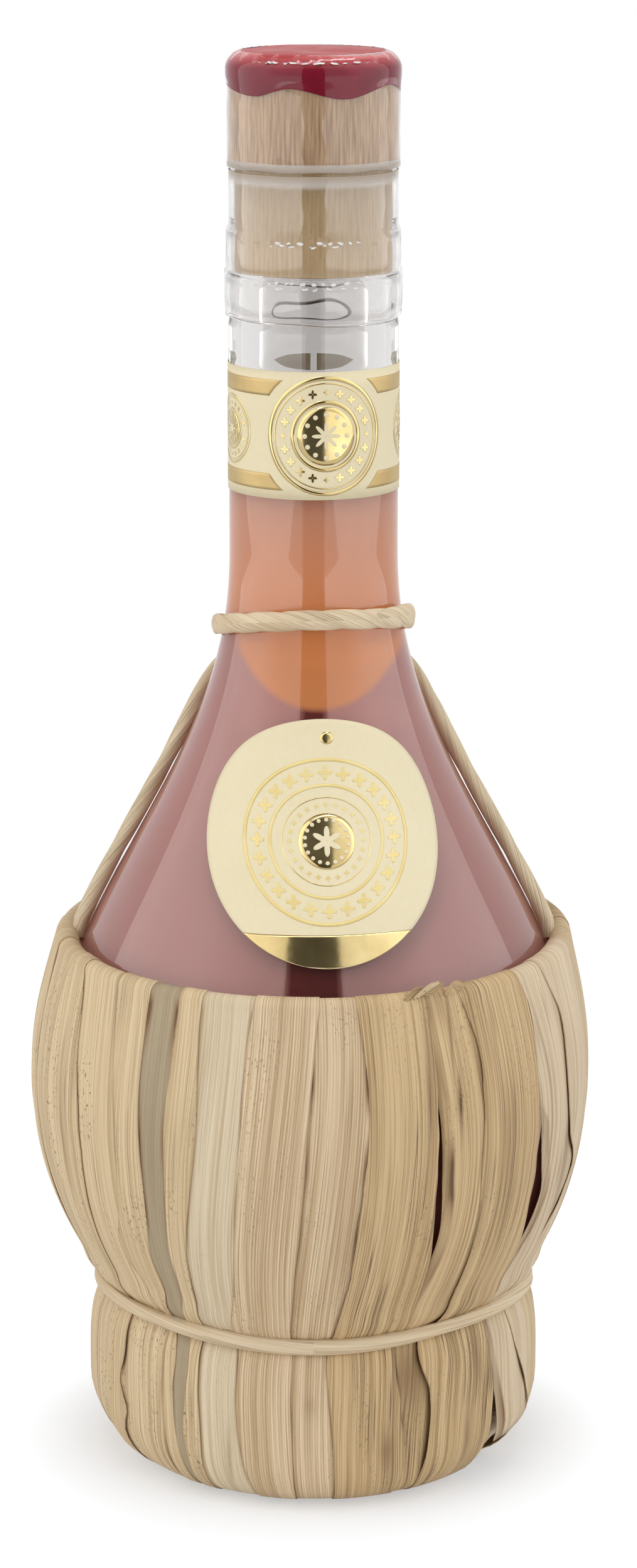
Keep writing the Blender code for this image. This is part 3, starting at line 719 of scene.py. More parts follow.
def waxBulge(z, waxTop):
    # The wax is thickest a little below its top edge: a bell curve of the height.
    return stopper["waxBulge"] * np.exp(-(((waxTop - stopper["bulgeDrop"] - z) / stopper["bulgeHalf"]) ** 2))


def domeAt(radius, z, top):
    # The flat top rises to its middle with the square of the radius.
    return stopper["dome"] * (1 - (radius / stopper["headRadius"]) ** 2) * (z > top - 0.5)


def buildStopper():
    # The head is a cap with a hole for the shank's spigot; the wax and the film are caps laid over it.
    s = stopper
    seat = lipTop + s["seat"]
    top = seat + s["headTall"]
    hole, roof = s["spigotRadius"] + s["spigotAir"], seat + s["spigotLong"] + s["spigotAir"]
    under = np.array([(s["headRadius"] - s["headFoot"], seat), (hole, seat), (hole, roof), (0, roof)])
    head = np.concatenate([cap(s["headRadius"], top, s["headEdge"], seat + s["headFoot"]), under])
    makePiece("stopper_head_wood", [revolve(head, 96)], birchLook, "stopper", ["stopper_head"])
    foot = lipTop - s["shankLong"]
    upper = np.array([(0, seat + s["spigotLong"]), (s["spigotRadius"], seat + s["spigotLong"]),
                      (s["spigotRadius"], lipTop), (s["shankRadius"], lipTop)])
    turn = np.linspace(0, -np.pi / 2, 6)
    small = s["shankEdge"]
    side = np.stack([np.full(12, s["shankRadius"]), np.linspace(lipTop, foot + small, 12)], -1)[1:]
    edge = [s["shankRadius"] - small + small * np.cos(turn), foot + small + small * np.sin(turn)]
    edge = np.stack(edge, -1)[1:]
    shank = np.concatenate([upper, side, edge, [(0, foot)]])
    makePiece("stopper_shank_cork", [revolve(shank, 128)], shankLook, "stopper", ["stopper_shank"])

    waxTop = top + s["waxGap"]
    skirt = waxTop - s["waxSkirt"]
    profile = cap(s["headRadius"] + s["waxGap"], waxTop, s["headEdge"] + s["waxGap"], skirt)

    def drip(radius, degrees, z):
        # The lower edge waves, the side bulges and the top is slightly domed, with shallow dimples.
        level, turn = waxTop - s["bulgeDrop"], np.radians(degrees)
        share = np.clip((level - z) / (level - skirt), 0, 1)
        dimples = ripple(14, 5, 0.1, 0.4, radius * np.cos(turn), radius * np.sin(turn)) * (radius > 0.1)
        dome = domeAt(radius, z, waxTop) + s["dimples"] * (z > waxTop - 0.5) * dimples
        return radius + waxBulge(z, waxTop), z + dome + readWave(waxEdge, degrees) * share

    makePiece("wax_dip_shell", [revolve(profile, 160, drip)], waxLook, "stopper", ["wax_dip"],
              s["waxWall"])

    # The film clings to the wax, spans the step below it and ends over the lip.
    out = s["waxGap"] + s["waxWall"] - film["overlap"]
    filmTop = top + out
    profile = cap(s["headRadius"] + out, filmTop, s["headEdge"] + out, lipTop - film["hemDrop"],
                  film["opening"], 14)

    def crumple(radius, degrees, z):
        # Small pleats round the top edge, and faint ones down the side below the wax.
        turn = np.radians(degrees)
        edge = np.exp(-(((z - filmTop + film["pleatDrop"]) / film["pleatHalf"]) ** 2))
        pleats = np.maximum(0, ringRipple(11, 6, 9, 47, turn))
        below = smooth(skirt + readWave(waxEdge, degrees) - z, -0.3, 0.8)
        spread = (film["reach"] - radius) * smooth(seat + 1.5 - z, 0, 1.5)
        loose = film["loose"] * ringRipple(13, 6, 2, 14, turn, z * 1.2) * below
        hem = film["hemWave"] * smooth(seat + 1 - z, 0, 1) * ringRipple(12, 4, 3, 14, turn)
        rise = domeAt(radius, z, filmTop) + film["pleats"] * edge * pleats + hem
        return radius + waxBulge(z, waxTop) - film["sink"] * below + loose + spread, z + rise

    patch = revolve(profile, 256, crumple)
    z, degrees = profile[:, 1:], np.linspace(-180, 180, 257)[None, :]
    waxFoot = skirt + readWave(waxEdge, degrees)
    patch["haze"] = film["upperHaze"] * smooth(seat + 0.9 - z, 0, 0.6) + 0 * degrees
    patch["paint"] = np.minimum(-smooth(z, waxFoot - 0.1, waxFoot + 0.2), -patch["haze"])
    makePiece("film_over_head", [patch], filmLook, "stopper", ["seal_film_top"], film["wall"])
    seed, tall, share, front = film["edgeCrease"]
    ring = creaseRing(seed, s["headRadius"] + 0.2, filmTop - 1.0, tall, share, front)
    # The edge's crease is white: a painted glint.
    makePiece("film_edge_crease", [ring], glintLook, "stopper", wall=film["creaseWall"])


def creaseRing(seed, radius, height, tall, share, front):
    # A jagged crease of film: a narrow facet that leans back, broken into short pieces round the axis.
    degrees = np.linspace(-180, 180, 513)[None, :]
    turn = np.radians(degrees)
    jag = 0.12 * ringRipple(seed, 6, 9, 40, turn) + 0.07 * ringRipple(seed + 1, 6, 50, 110, turn)
    keep = smooth(ringRipple(seed + 2, 6, 12, 60, turn) + share, 0, 0.4)
    keep = keep * smooth(front - np.abs(degrees), 0, 12)
    across = np.array([-1.0, -0.3, 0.3, 1.0])[:, None]
    lean = 0.22 * ringRipple(seed + 3, 6, 20, 90, turn)
    out = radius - 0.55 * tall * (1 + lean) * keep * (across + 1) - 0.3 * (1 - keep)
    uv = np.stack(np.broadcast_arrays(turn * radius, across), -1) / 10
    return {"at": around(out, degrees, height + jag + 0.5 * tall * keep * across), "uv": uv, "haze": 0 * out}


def buildNeckFilm():
    # The film over the lip's band, ring and bead: a little slack over the groove, with a wavy hem that has a
    # dark line painted along it at the back.
    height = np.linspace(lipTop - lift - 0.9, flask["beadHeight"] - flask["beadHalf"] - 0.3, 110)
    profile = np.stack([finishRadius(height, 0.5) + film["neckOff"], height + lift], -1)

    def crumple(radius, degrees, z):
        # Slanted folds, strongest at the sides, with jagged ridges, and a hem that is rolled and falls at
        # the back.
        turn = np.radians(degrees)
        sides = 0.35 + 0.65 * np.sin(turn) ** 2
        slanted = ringRipple(21, 6, 2, 12, turn, z * 0.4)
        small = ringRipple(23, 6, 12, 30, turn, z * 1.5)
        share = smooth(flask["beadHeight"] + lift - z, -1, 3)
        back = film["hemFall"] * smooth(np.abs(degrees), 120, 170)
        hem = share * (film["hemRipple"] * ringRipple(22, 5, 2, 6, turn) + back)
        out = film["slack"] * sides * slanted + film["crinkle"] * small
        for level, wide in film["ridges"]:
            jag = 0.35 * ringRipple(24, 5, 9, 33, turn) + 0.25 * ringRipple(25, 5, 30, 70, turn)
            ridge = np.exp(-(((z - lift - level - jag) / wide) ** 2))
            ridge = ridge * (0.6 + 0.4 * ringRipple(26, 4, 8, 40, turn))
            out = out + film["ridgeRise"] * ridge
        rise, over, half = film["rolled"]
        out = out + rise * np.exp(-(((z - profile[-1, 1] - over) / half) ** 2))
        return radius + out, z + hem

    patch = revolve(profile, 192, crumple)
    degrees = np.linspace(-180, 180, 193)[None, :]
    rows = np.arange(len(profile))[:, None]
    patch["haze"] = film["lowerHaze"] * smooth(profile[:, 1:], lipTop - 3.4, lipTop - 1.0) + 0 * degrees
    patch["paint"] = smooth(np.abs(degrees), *film["darkHem"]) * (rows > len(profile) - 3) - patch["haze"]
    makePiece("film_over_lip", [patch], filmLook, stands=["seal_film_neck"], wall=film["wall"])
    rings = [creaseRing(seed, finishRadius(np.array(level)) + film["creaseOff"], level + lift, tall,
                        film["creaseShare"], film["creaseFront"]) for seed, level, tall in film["creases"]]
    # The creases are white: painted glints.
    makePiece("film_creases", rings, glintLook, wall=film["creaseWall"])


buildStopper()
buildNeckFilm()
print("stage: stopper and film made")


labels = {
    "wall": 0.12, "off": 0.04, "foilLift": 0.14, "foilWall": 0.02, "reliefLift": 0.04,
    "neckLow": 165.2, "neckHigh": 187.2, "neckGap": 6.0,
    # Medallions on the neck label as (angle, size), and the rings, dots, rosette and beads at size 1.
    "medallions": ((8.5, 1.0), (-70.5, 0.59), (91.5, 0.59)),
    "rings": ((9.6, 10.3), (8.95, 9.2), (5.45, 6.15), (0, 5.05)),
    "dots": (20, 7.55, 0.85, 0.5), "rosette": (8, 2.5), "beads": (12, 3.7, 0.42),
    # The stripes along the edges, and the circle on which they end.
    "stripe": (6.7, 9.5), "stripeEnd": 12.1,
    # The round label: its turn, the middle of its rings, and wreaths as (count, reach, size).
    "turn": 4.0, "centre": (0.3, 0.1), "paleRings": ((14.1, 14.75), (9.55, 10.1)),
    "wreaths": ((24, 12.1, 1.3), (24, 6.4, 0.5)), "goldRings": ((0, 4.9), (7.6, 7.8)),
    "footLine": -16.1, "eyelet": (0.8, 0.84, 1.15), "roundRosette": (6, 2.7), "roundBeads": (18, 3.8, 0.36),
}
roundLow, roundHigh = (corner.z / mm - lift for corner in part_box("shoulder_label"))
roundRadius = np.hypot(roundHigh - roundLow, shellRadius(roundLow) - shellRadius(roundHigh)) / 2
bandRadius = flask["neckRadius"] + labels["off"]


def onNeck(across, up, off):
    # The place on the neck of a point on its flat label; across is counted from the front.
    return around(bandRadius + off, np.degrees(across / (bandRadius + off)), up + lift)


def onShoulder(across, up, off):
    # The place on the shoulder of a point on the flat round label, counted from its centre.
    height = (roundLow + roundHigh) / 2 + up * (roundHigh - roundLow) / 2 / roundRadius
    radius = shellRadius(height) + labels["off"]
    degrees = labels["turn"] + np.degrees(across / radius)
    return around(radius + off * 0.85, degrees, height + lift + off * 0.5)


def patchOn(place, across, up, off=0.0):
    # Points of a flat label, off its surface by a little, with their flat places in centimetres as map.
    across, up = np.broadcast_arrays(across, up)
    return {"at": place(across, up, off), "uv": np.stack([across, up], -1) / 10}


def ringOn(place, middle, inner, outer, off, turns=72):
    # A flat ring between two radii about a middle; across is radius times sine and up is radius times cosine.
    turn = np.linspace(0, 2 * np.pi, turns + 1)[None, :]
    radius = np.linspace(inner, outer, 3 if outer - inner < 2 else 7)[:, None]
    return patchOn(place, middle[0] + radius * np.sin(turn), middle[1] + radius * np.cos(turn), off)


def flowerOn(place, middle, reach, petals, off):
    # A plain rosette: the outline's radius swings once for each petal.
    turn = np.linspace(0, 2 * np.pi, petals * 10 + 1)[None, :]
    radius = reach * np.linspace(0.02, 1, 8)[:, None] * (0.68 + 0.32 * np.cos(petals * turn))
    return patchOn(place, middle[0] + radius * np.sin(turn), middle[1] + radius * np.cos(turn), off)


def wreath(centre, reach, count):
    # Evenly spaced spots on a circle, from its top round.
    turn = 2 * np.pi * np.arange(count) / count
    return list(zip(centre[0] + reach * np.sin(turn), centre[1] + reach * np.cos(turn)))


def reliefOn(place, centre, big, rosette, beads):
    # A plain rosette inside a ring of beads stands on a gold disc.
    off = labels["foilLift"] + labels["reliefLift"]
    spots = wreath(centre, beads[1] * big, beads[0])
    return [flowerOn(place, centre, rosette[1] * big, rosette[0], off),
            *(ringOn(place, spot, 0, beads[2] * big, off, 16) for spot in spots)]


def makeFoil(name, patches, look):
    makePiece(name, patches, look, wall=labels["foilWall"])


def buildNeckLabel():
    # A paper band that is open at the back, with gold medallions and stripes on it.
    s = labels
    half = np.pi * bandRadius * (1 - s["neckGap"] / 360)
    across = np.linspace(-half, half, 161)[None, :]
    up = np.linspace(s["neckHigh"], s["neckLow"], 9)[:, None]
    makePiece("neck_label_paper", [patchOn(onNeck, across, up)], paperLook,
              stands=["neck_label"], wall=s["wall"])
    middle = (s["neckLow"] + s["neckHigh"]) / 2
    gold, relief = [], []
    count, circle, size, least = s["dots"]
    for degrees, big in s["medallions"]:
        centre = (np.radians(degrees) * bandRadius, middle)
        gold += [ringOn(onNeck, centre, inner * big, outer * big, s["foilLift"])
                 for inner, outer in s["rings"]]
        # Every fifth dot of the ring is small.
        for step, spot in enumerate(wreath(centre, circle * big, count)):
            gold.append(flowerOn(onNeck, spot, (size if step % 5 else least) * big, 4, s["foilLift"]))
        relief += reliefOn(onNeck, centre, big, s["rosette"], s["beads"])
    makeFoil("neck_label_gold", gold, goldLook)
    # A stripe along each edge runs round the back and ends on a circle about the front medallion.
    stripes = []
    front = np.radians(s["medallions"][0][0]) * bandRadius
    share = np.linspace(0, 1, 60)[None, :]
    height = np.linspace(*s["stripe"], 7)[:, None]
    reach = np.sqrt(s["stripeEnd"] ** 2 - height**2)
    for side in (1, -1):
        for start, stop in ((-half + 0.1, front - reach), (front + reach, half - 0.1)):
            across = start + (stop - start) * share
            stripes.append(patchOn(onNeck, across, middle + side * height, s["foilLift"]))
    makeFoil("neck_label_stripes", stripes, stripeLook)
    makeFoil("neck_label_relief", relief, paperLook)


def buildShoulderLabel():
    # A paper disc with pale wreaths, a gold middle, and foil on the part under a straight line.
    s = labels
    turn = np.radians(np.linspace(0, 360, 129))[None, :]
    radius = (roundRadius * np.linspace(0, 1, 30))[:, None]
    makePiece("shoulder_label_paper", [patchOn(onShoulder, radius * np.sin(turn), radius * np.cos(turn))],
              paperLook, stands=["shoulder_label"], wall=s["wall"])
    off, centre = s["foilLift"], s["centre"]
    pale = [ringOn(onShoulder, centre, inner, outer, off) for inner, outer in s["paleRings"]]
    for count, reach, size in s["wreaths"]:
        pale += [flowerOn(onShoulder, spot, size, 4, off) for spot in wreath(centre, reach, count)]
    makeFoil("shoulder_label_rings", pale, paleGoldLook)
    reach = roundRadius - 0.02
    up = np.linspace(s["footLine"], -reach, 16)[:, None]
    half = np.sqrt(np.maximum(reach**2 - up**2, 0))
    gold = [patchOn(onShoulder, half * np.linspace(-1, 1, 41)[None, :], up, off)]
    gold += [ringOn(onShoulder, centre, inner, outer, off) for inner, outer in s["goldRings"]]
    aside, high, size = s["eyelet"]
    gold.append(ringOn(onShoulder, (aside, high * roundRadius), 0, size, off, 32))
    makeFoil("shoulder_label_gold", gold, goldLook)
    relief = reliefOn(onShoulder, centre, 1.0, s["roundRosette"], s["roundBeads"])
    makeFoil("shoulder_label_relief", relief, paperLook)


buildNeckLabel()
buildShoulderLabel()
print("stage: labels made")


basket = {
    "leaf": 0.4, "clear": 0.3, "air": 0.4, "rim": 83.6, "rimDip": 1.3, "hoop": 0.8, "flap": 2.2,
    "settle": 32.0, "waist": 20.41, "waistRise": 2.2, "slack": 0.8, "roll": 5.9, "ring": 32.913, "tuck": 5.5,
    "tuckDegrees": 2.4, "wall": 0.16, "innerLayer": 1.0, "outerLayer": 1.18, "footInner": 1.06,
    "footOuter": 1.24,
    # The belly leans this far to the left, and the foot's turn is rounder at the sides than at the front.
    "lean": 0.65, "footOut": (7.6, 2.9), "footUp": (7.6, 5.0),
    # The bulge over the waist cord as (out, height, half height), and the skirt as (way down, way out).
    "bulge": (0.75, 4.2, 2.0), "skirt": ((0.36, 0.72), (0.72, 0.95)),
    # A leaf's crown and its edges' roughness on the left and on the right, its ridges, and the line of
    # painted shade at a seam as (half width in degrees, depth) for the inner and the outer leaves.
    "crown": (0.08, 0.35), "rough": (0.05, 0.12), "ridges": 0.06, "seamShade": ((0.8, 1.25), (0.45, 0.75)),
}
pack = basket["leaf"] + basket["clear"]
# Seams as (angle at the belly, angle at the waist), then the ones read along the front as height: angle.
frontSeams = ((-78, -76), (-67.8, -66), (-54.4, -57.5), (-44, -41.5), (-36.6, -37.5), (-31, -35),
              (-23.9, -30.5), (-15, -20.5), (-2, -6), (10, 3.8), (25.5, 21), (36, 28), (53, 49.7), (66, 62),
              (78, 72))
seamPaths = {
    1: {95: -65.4, 91: -67, 84: -67.7, 76: -67.8, 64: -67.9, 57: -69, 51: -69.2, 40: -67.5, 30: -66,
        5: -66},
    2: {95: -59.9, 88: -57.3, 79: -55.9, 71: -54.6, 59: -54.4, 49: -55.2, 38: -55.6, 29: -56.5, 22: -57,
        18: -59, 13: -55.5, 9: -57.5, 3: -57},
    3: {96: -46.8, 90: -45.7, 79: -44.1, 67: -43.1, 55: -44.3, 44.5: -47, 40.5: -44.7, 35.6: -42.6,
        31.7: -41.4, 25: -41.2, 14: -40.6, 5: -39},
    4: {97: -37.1, 92: -36.9, 80: -37, 71: -36.8, 62: -36.5, 53: -36.9, 46: -38.3, 41: -37.9, 35: -39.3,
        31: -40.2, 28.6: -38.3, 20: -37.9, 14: -37.5, 8.5: -36, 4: -35},
    5: {97: -29.7, 92: -29.3, 85: -29.8, 79: -30.1, 71: -30.8, 65: -31, 57: -31.4, 47: -32.7, 42: -32.7,
        36: -33.9, 31: -35.5, 28: -34, 18.5: -34.3, 12.6: -34.6, 8.5: -33.6, 4: -33},
    6: {97: -24.2, 91: -24.1, 82: -23.7, 67: -24.1, 59: -25.8, 48: -28.3, 38: -29.5, 30: -30.5, 18: -30,
        4: -29},
    7: {96: -12, 88: -13.4, 80: -14.1, 71: -14.6, 65: -15.1, 49: -17.1, 42.5: -18.3, 30: -21, 27: -19.8,
        20: -19.7, 12.6: -18.8, 7: -17.2, 4: -15.6},
    8: {95: 1.5, 88: 0.4, 80: -0.3, 71.6: -1.2, 59.6: -2.2, 50: -3.5, 41: -4.8, 30: -6, 27: -5.5,
        21: -5.7, 13: -5.4, 4: -4.9},
    9: {95: 9, 80: 10.9, 72: 11, 62: 10, 53: 8.8, 45.5: 8, 38.7: 6.6, 30.4: 4.2, 27: 3.3, 23: 3.5,
        17: 4.4, 9.5: 5, 3.5: 5.5},
    10: {95: 24.4, 88: 25.1, 76: 25.5, 63: 25.5, 54: 25.6, 48: 25.8, 39.4: 25.4, 33.3: 24, 28: 21.6,
         18: 22.3, 12: 23.2, 5: 22.6},
    11: {96.5: 31.3, 94.8: 32, 91: 33.5, 85.7: 35.4, 78: 36.2, 65: 36.1, 56: 36.7, 46.5: 36.2, 42: 35.7,
         38: 35, 34: 32.7, 31.6: 29.7, 28.7: 27.8, 21: 30, 15: 30.2, 9.5: 29.1, 4: 28.4},
    12: {98: 49.2, 95: 49.5, 92: 50.3, 90: 51.4, 81: 51.8, 75: 52, 68.8: 52.8, 60: 52.8, 50: 52.9,
         46: 53.4, 38: 51, 30: 49.8, 23: 50.5, 17: 51.6, 11.5: 51, 4: 48.5},
    13: {97: 57.2, 93: 59.4, 89.7: 61.4, 86: 63.6, 83: 64, 77: 63.9, 68.4: 65, 62.2: 67.7, 57: 72.6,
         51: 70.1, 45.7: 66.5, 39: 63, 34: 61.5, 30: 60.7, 22: 63.6, 15: 69.4, 5: 77},
}
# The left edges of the two leaves that gape at the belly.
gapingLefts = {
    10: {95: 22.5, 85: 23, 79: 24, 75.7: 25.6, 70: 26.4, 62: 26.9, 57.7: 27.3, 51: 27.2, 48: 26.4, 40: 23,
         30: 19.5, 28: 19.5, 18: 20, 12: 21, 5: 20.5},
    12: {98: 46.8, 90: 49, 80.7: 49.6, 75: 50.2, 70: 52.2, 68.7: 53.4, 65.5: 54.3, 60: 55.7, 54: 57.4,
         51: 56.6, 48: 55.5, 46: 54.2, 38: 50, 30: 49.7, 22: 51, 15: 53.7, 8: 55.2, 3: 55.5},
}
frontTones = ("pale", "pale", "pale", "pale", "grey", "pale", "cream", "ribbed", "ribbed", "brown", "brown",
              "brown", "peach", "peach")
backTones = ("pale", "brown", "ribbed", "pale", "cream", "pale", "grey", "pale", "ribbed", "brown", "pale",
             "pale")
tones = frontTones + backTones


def waistHeight(degrees):
    # The waist rises and falls three times round.
    return lift + basket["waist"] + basket["waistRise"] * (1 - np.cos(np.radians(3 * degrees))) / 2


def hoopAt(degrees):
    # The hoop's middle, as radius and height, stands off the glass by its wire and the leaves' layers; with
    # it come the directions down the glass and out of it. The rim dips at the front.
    rim = basket["rim"] - basket["rimDip"] * np.cos(np.radians(degrees))
    fall = shellRadius(rim - basket["flap"]) - shellRadius(rim)
    slope = np.hypot(fall, basket["flap"])
    along = fall / slope, -basket["flap"] / slope
    out = -along[1], along[0]
    reach = 2 * pack + basket["clear"] + basket["hoop"]
    return shellRadius(rim) + out[0] * reach, rim + lift + out[1] * reach, along, out


blockRows = {"flap": 5, "fold": 10, "run": 70, "skirt": 22, "turn": 10, "tuck": 3}
rowTotal = sum(blockRows.values())


def bedGrid(degrees):
    # The line that the leaves lie on, as radius, height and the direction out of it, for a grid of angles
    # whose rows run from the flap inside the rim, over the hoop, down to the waist and under the foot ring.
    b = basket
    starts = np.cumsum([0, *blockRows.values()])
    block = {name: degrees[starts[i] : starts[i + 1]] for i, name in enumerate(blockRows)}
    radius, height = [], []

    def lay(r, z, angles):
        radius.append(np.broadcast_to(r, angles.shape))
        height.append(np.broadcast_to(z, angles.shape))

    share = np.linspace(1, 0, blockRows["flap"], endpoint=False)[:, None]
    hoopR, hoopZ, along, out = hoopAt(block["flap"])
    lay(hoopR - out[0] * b["hoop"] + along[0] * b["flap"] * share,
        hoopZ - out[1] * b["hoop"] + along[1] * b["flap"] * share, block["flap"])
    hoopR, hoopZ, along, out = hoopAt(block["fold"])
    turn = np.arctan2(-out[1], -out[0]) + 2 * np.pi - np.pi * np.linspace(0, 1, blockRows["fold"])[:, None]
    lay(hoopR + b["hoop"] * np.cos(turn), hoopZ + b["hoop"] * np.sin(turn), block["fold"])
    share = np.linspace(0, 1, blockRows["run"] + 1)[1:, None]
    hoopR, hoopZ, along, out = hoopAt(block["run"])
    waist = waistHeight(block["run"])
    z = hoopZ + (waist - hoopZ) * share
    stand = hoopR + b["hoop"] - shellRadius(hoopZ - lift)
    settled = np.clip((hoopZ - z) / b["settle"], 0, 1)
    lifted = (stand - b["air"]) * (1 - settled) ** 2
    lifted = lifted + b["slack"] * np.maximum(0, -np.sin(2 * np.pi * share)) * 0.6
    rise, over, half = b["bulge"]
    lifted = lifted + rise * np.exp(-(((z - waist - over) / half) ** 2))
    lifted = lifted - b["lean"] * np.sin(np.radians(block["run"])) * np.sin(np.pi * share)
    lay(shellRadius(z - lift) + b["air"] + lifted, z, block["run"])
    angles = block["skirt"]
    waist = waistHeight(angles[:1])
    waistRadius = shellRadius(waist - lift) + b["air"]
    side = b["ring"] + b["roll"]
    beside = np.sin(np.radians(angles[:1])) ** 2
    turnOut, turnUp = (low + more * beside for low, more in (b["footOut"], b["footUp"]))
    upper, lower = 2 * pack + 3 * b["roll"], 2 * pack + turnUp
    knots = [(waistRadius, waist)]
    knots += [(waistRadius + (side - waistRadius) * way, waist + (upper - waist) * down)
              for down, way in b["skirt"]]
    knots += [(side, upper), (side, lower)]
    knots = [np.stack(np.broadcast_arrays(*knot, waist)[:2], -1) for knot in knots]
    curve = through(knots, blockRows["skirt"] + 1)[1:, 0]
    lay(curve[..., 0], curve[..., 1], angles)
    turn = (np.pi / 2 * np.linspace(0, 1, blockRows["turn"] + 1)[1:])[:, None]
    lay(side - turnOut * (1 - np.cos(turn)), 2 * pack + turnUp * (1 - np.sin(turn)), block["turn"])
    share = np.linspace(0, 1, blockRows["tuck"] + 1)[1:, None]
    end = b["ring"] - b["tuck"]
    lay(side - turnOut + (end - side + turnOut) * share, 2 * pack + 0 * share, block["tuck"])
    radius, height = np.concatenate(radius), np.concatenate(height)
    run, fall = np.gradient(radius, axis=0), np.gradient(height, axis=0)
    length = np.hypot(run, fall)
    return radius, height, -fall / length, run / length


def seamAngles():
    # The seams' angles at the belly and the waist, with the back ones set out a little unevenly.
    shuffle = random.Random(7)
    first, last = np.array(frontSeams[0]) + 360.0, np.array(frontSeams[-1])
    seams = list(frontSeams)
    for step in range(1, len(backTones)):
        seams.append(last + (first - last) * step / len(backTones) + shuffle.uniform(-1.6, 1.6))
    return seams + [first]


seams = seamAngles()
bellyZ, waistZ = lift + flask["bellyHeight"], float(waistHeight(np.array(0.0)))


def readPath(path, z):
    # The angle at each height, on a smooth curve through the path's points.
    heights = np.array(sorted(path), float)
    angles = np.array([path[h] for h in sorted(path)], float)
    slope = np.gradient(angles, heights)
    z = np.clip(z, heights[0], heights[-1])
    index = np.clip(np.searchsorted(heights, z) - 1, 0, len(heights) - 2)
    step = heights[index + 1] - heights[index]
    t = (z - heights[index]) / step
    bend = step * (slope[index] * t * (1 - t) ** 2 - slope[index + 1] * t * t * (1 - t))
    return angles[index] + (angles[index + 1] - angles[index]) * t * t * (3 - 2 * t) + bend


def seamAt(number, z):
    # The seam's own path, or else a smooth step from its angle at the belly to that at the waist.
    if number in seamPaths:
        return readPath(seamPaths[number], z)
    belly, waist = seams[number]
    return belly + (waist - belly) * smooth((bellyZ - z) / (bellyZ - waistZ))


leafTouches = {
    # leaf: spots of stain, and a few of painted shade in recesses and gaps, as (angle, height, half width in
    # degrees, half height, strength)
    0: [(-72, 55, 2.0, 18, 0.25)],
    1: [(-61, 60, 1.2, 12, 0.2), (-57.5, 15, 1.2, 8, 0.35)],
    2: [(-56.5, 24, 1.6, 7, 0.6), (-55, 12, 1.2, 4, 0.3), (-43.5, 60, 0.8, 20, 0.2)],
    6: [(-21.5, 10, 0.8, 7, 0.5), (-16.5, 30, 1.0, 12, 0.15)],
    8: [(5.5, 52, 2.2, 9, 0.2), (-1, 20, 1.5, 2, 0.4)],
    9: [(24, 80, 1.3, 14, 0.5), (15, 50, 0.5, 20, 0.25), (18.5, 11, 1.8, 3.5, 0.9), (12.5, 70, 0.5, 16, 0.2)],
    # On leaf 10 the wide spot low on the skirt is painted shade in the recess where it sinks under the waist
    # cord.
    10: [(30.4, 76, 0.7, 3, 0.8), (29.3, 88, 0.35, 8, 1.0), (30.6, 75, 0.3, 7, 0.9), (25, 24, 4.0, 6, 0.9),
         (33, 40, 2, 8, 0.3), (27.5, 92, 2.5, 3, 0.35)],
    11: [(43.5, 66, 1.6, 10, 0.3), (40, 88, 1.0, 5, 0.35), (45.5, 24, 1.5, 4, 0.6), (41, 11, 1.2, 6, 0.9)],
    # On leaf 12 the first spot is painted shade in the gap along its right edge.
    12: [(66.5, 64, 2.6, 26, 0.9), (58, 34, 2, 6, 0.3), (53.5, 84, 1.0, 4, 0.3)],
    13: [(80, 88, 3.0, 12, 0.5)],
}
# How deep a leaf sinks between its neighbours under the waist cord.
leafSinks = {10: 0.8}
# The height at which a leaf is cut off instead of being folded under the foot.
cutEnds = {12: 6.3}
# A fold that stands up along a leaf: its height, half width in degrees and path.
leafFolds = {11: (0.7, 7.0, {28: 37.5, 21.4: 39.8, 17.7: 39.3, 5.3: 36.7}),
             1: (0.5, 3.0, {30: -62, 20: -63.5, 5: -61})}
# How far an outer leaf's edge stands off at a seam, in millimetres; the seams not named lie almost flush.
seamLifts = {1: 0.4, 2: 0.08, 9: 0.15, 10: 0.35, 11: 0.5, 12: 0.4, 13: 0.5, 14: 0.3}


def seamLift(number):
    # The named seam's own amount, or at the back a small one that changes from seam to seam.
    number = number % len(tones)
    back = 0.02 + 0.2 * (np.sin(number * 12.9) * 0.5 + 0.5)
    return seamLifts.get(number, 0.0 if number < len(frontSeams) else back)


def runAlong(path):
    # The length along a path at each of its points.
    return np.concatenate([[0], np.cumsum(np.linalg.norm(np.diff(path, axis=0), axis=1))])


def seedPiece(piece, value):
    # Shifts the fibres' pattern of one piece against the others'.
    seed = piece.data.attributes.new("seed", "FLOAT", "POINT")
    seed.data.foreach_set("value", np.full(len(piece.data.vertices), value, np.float32))


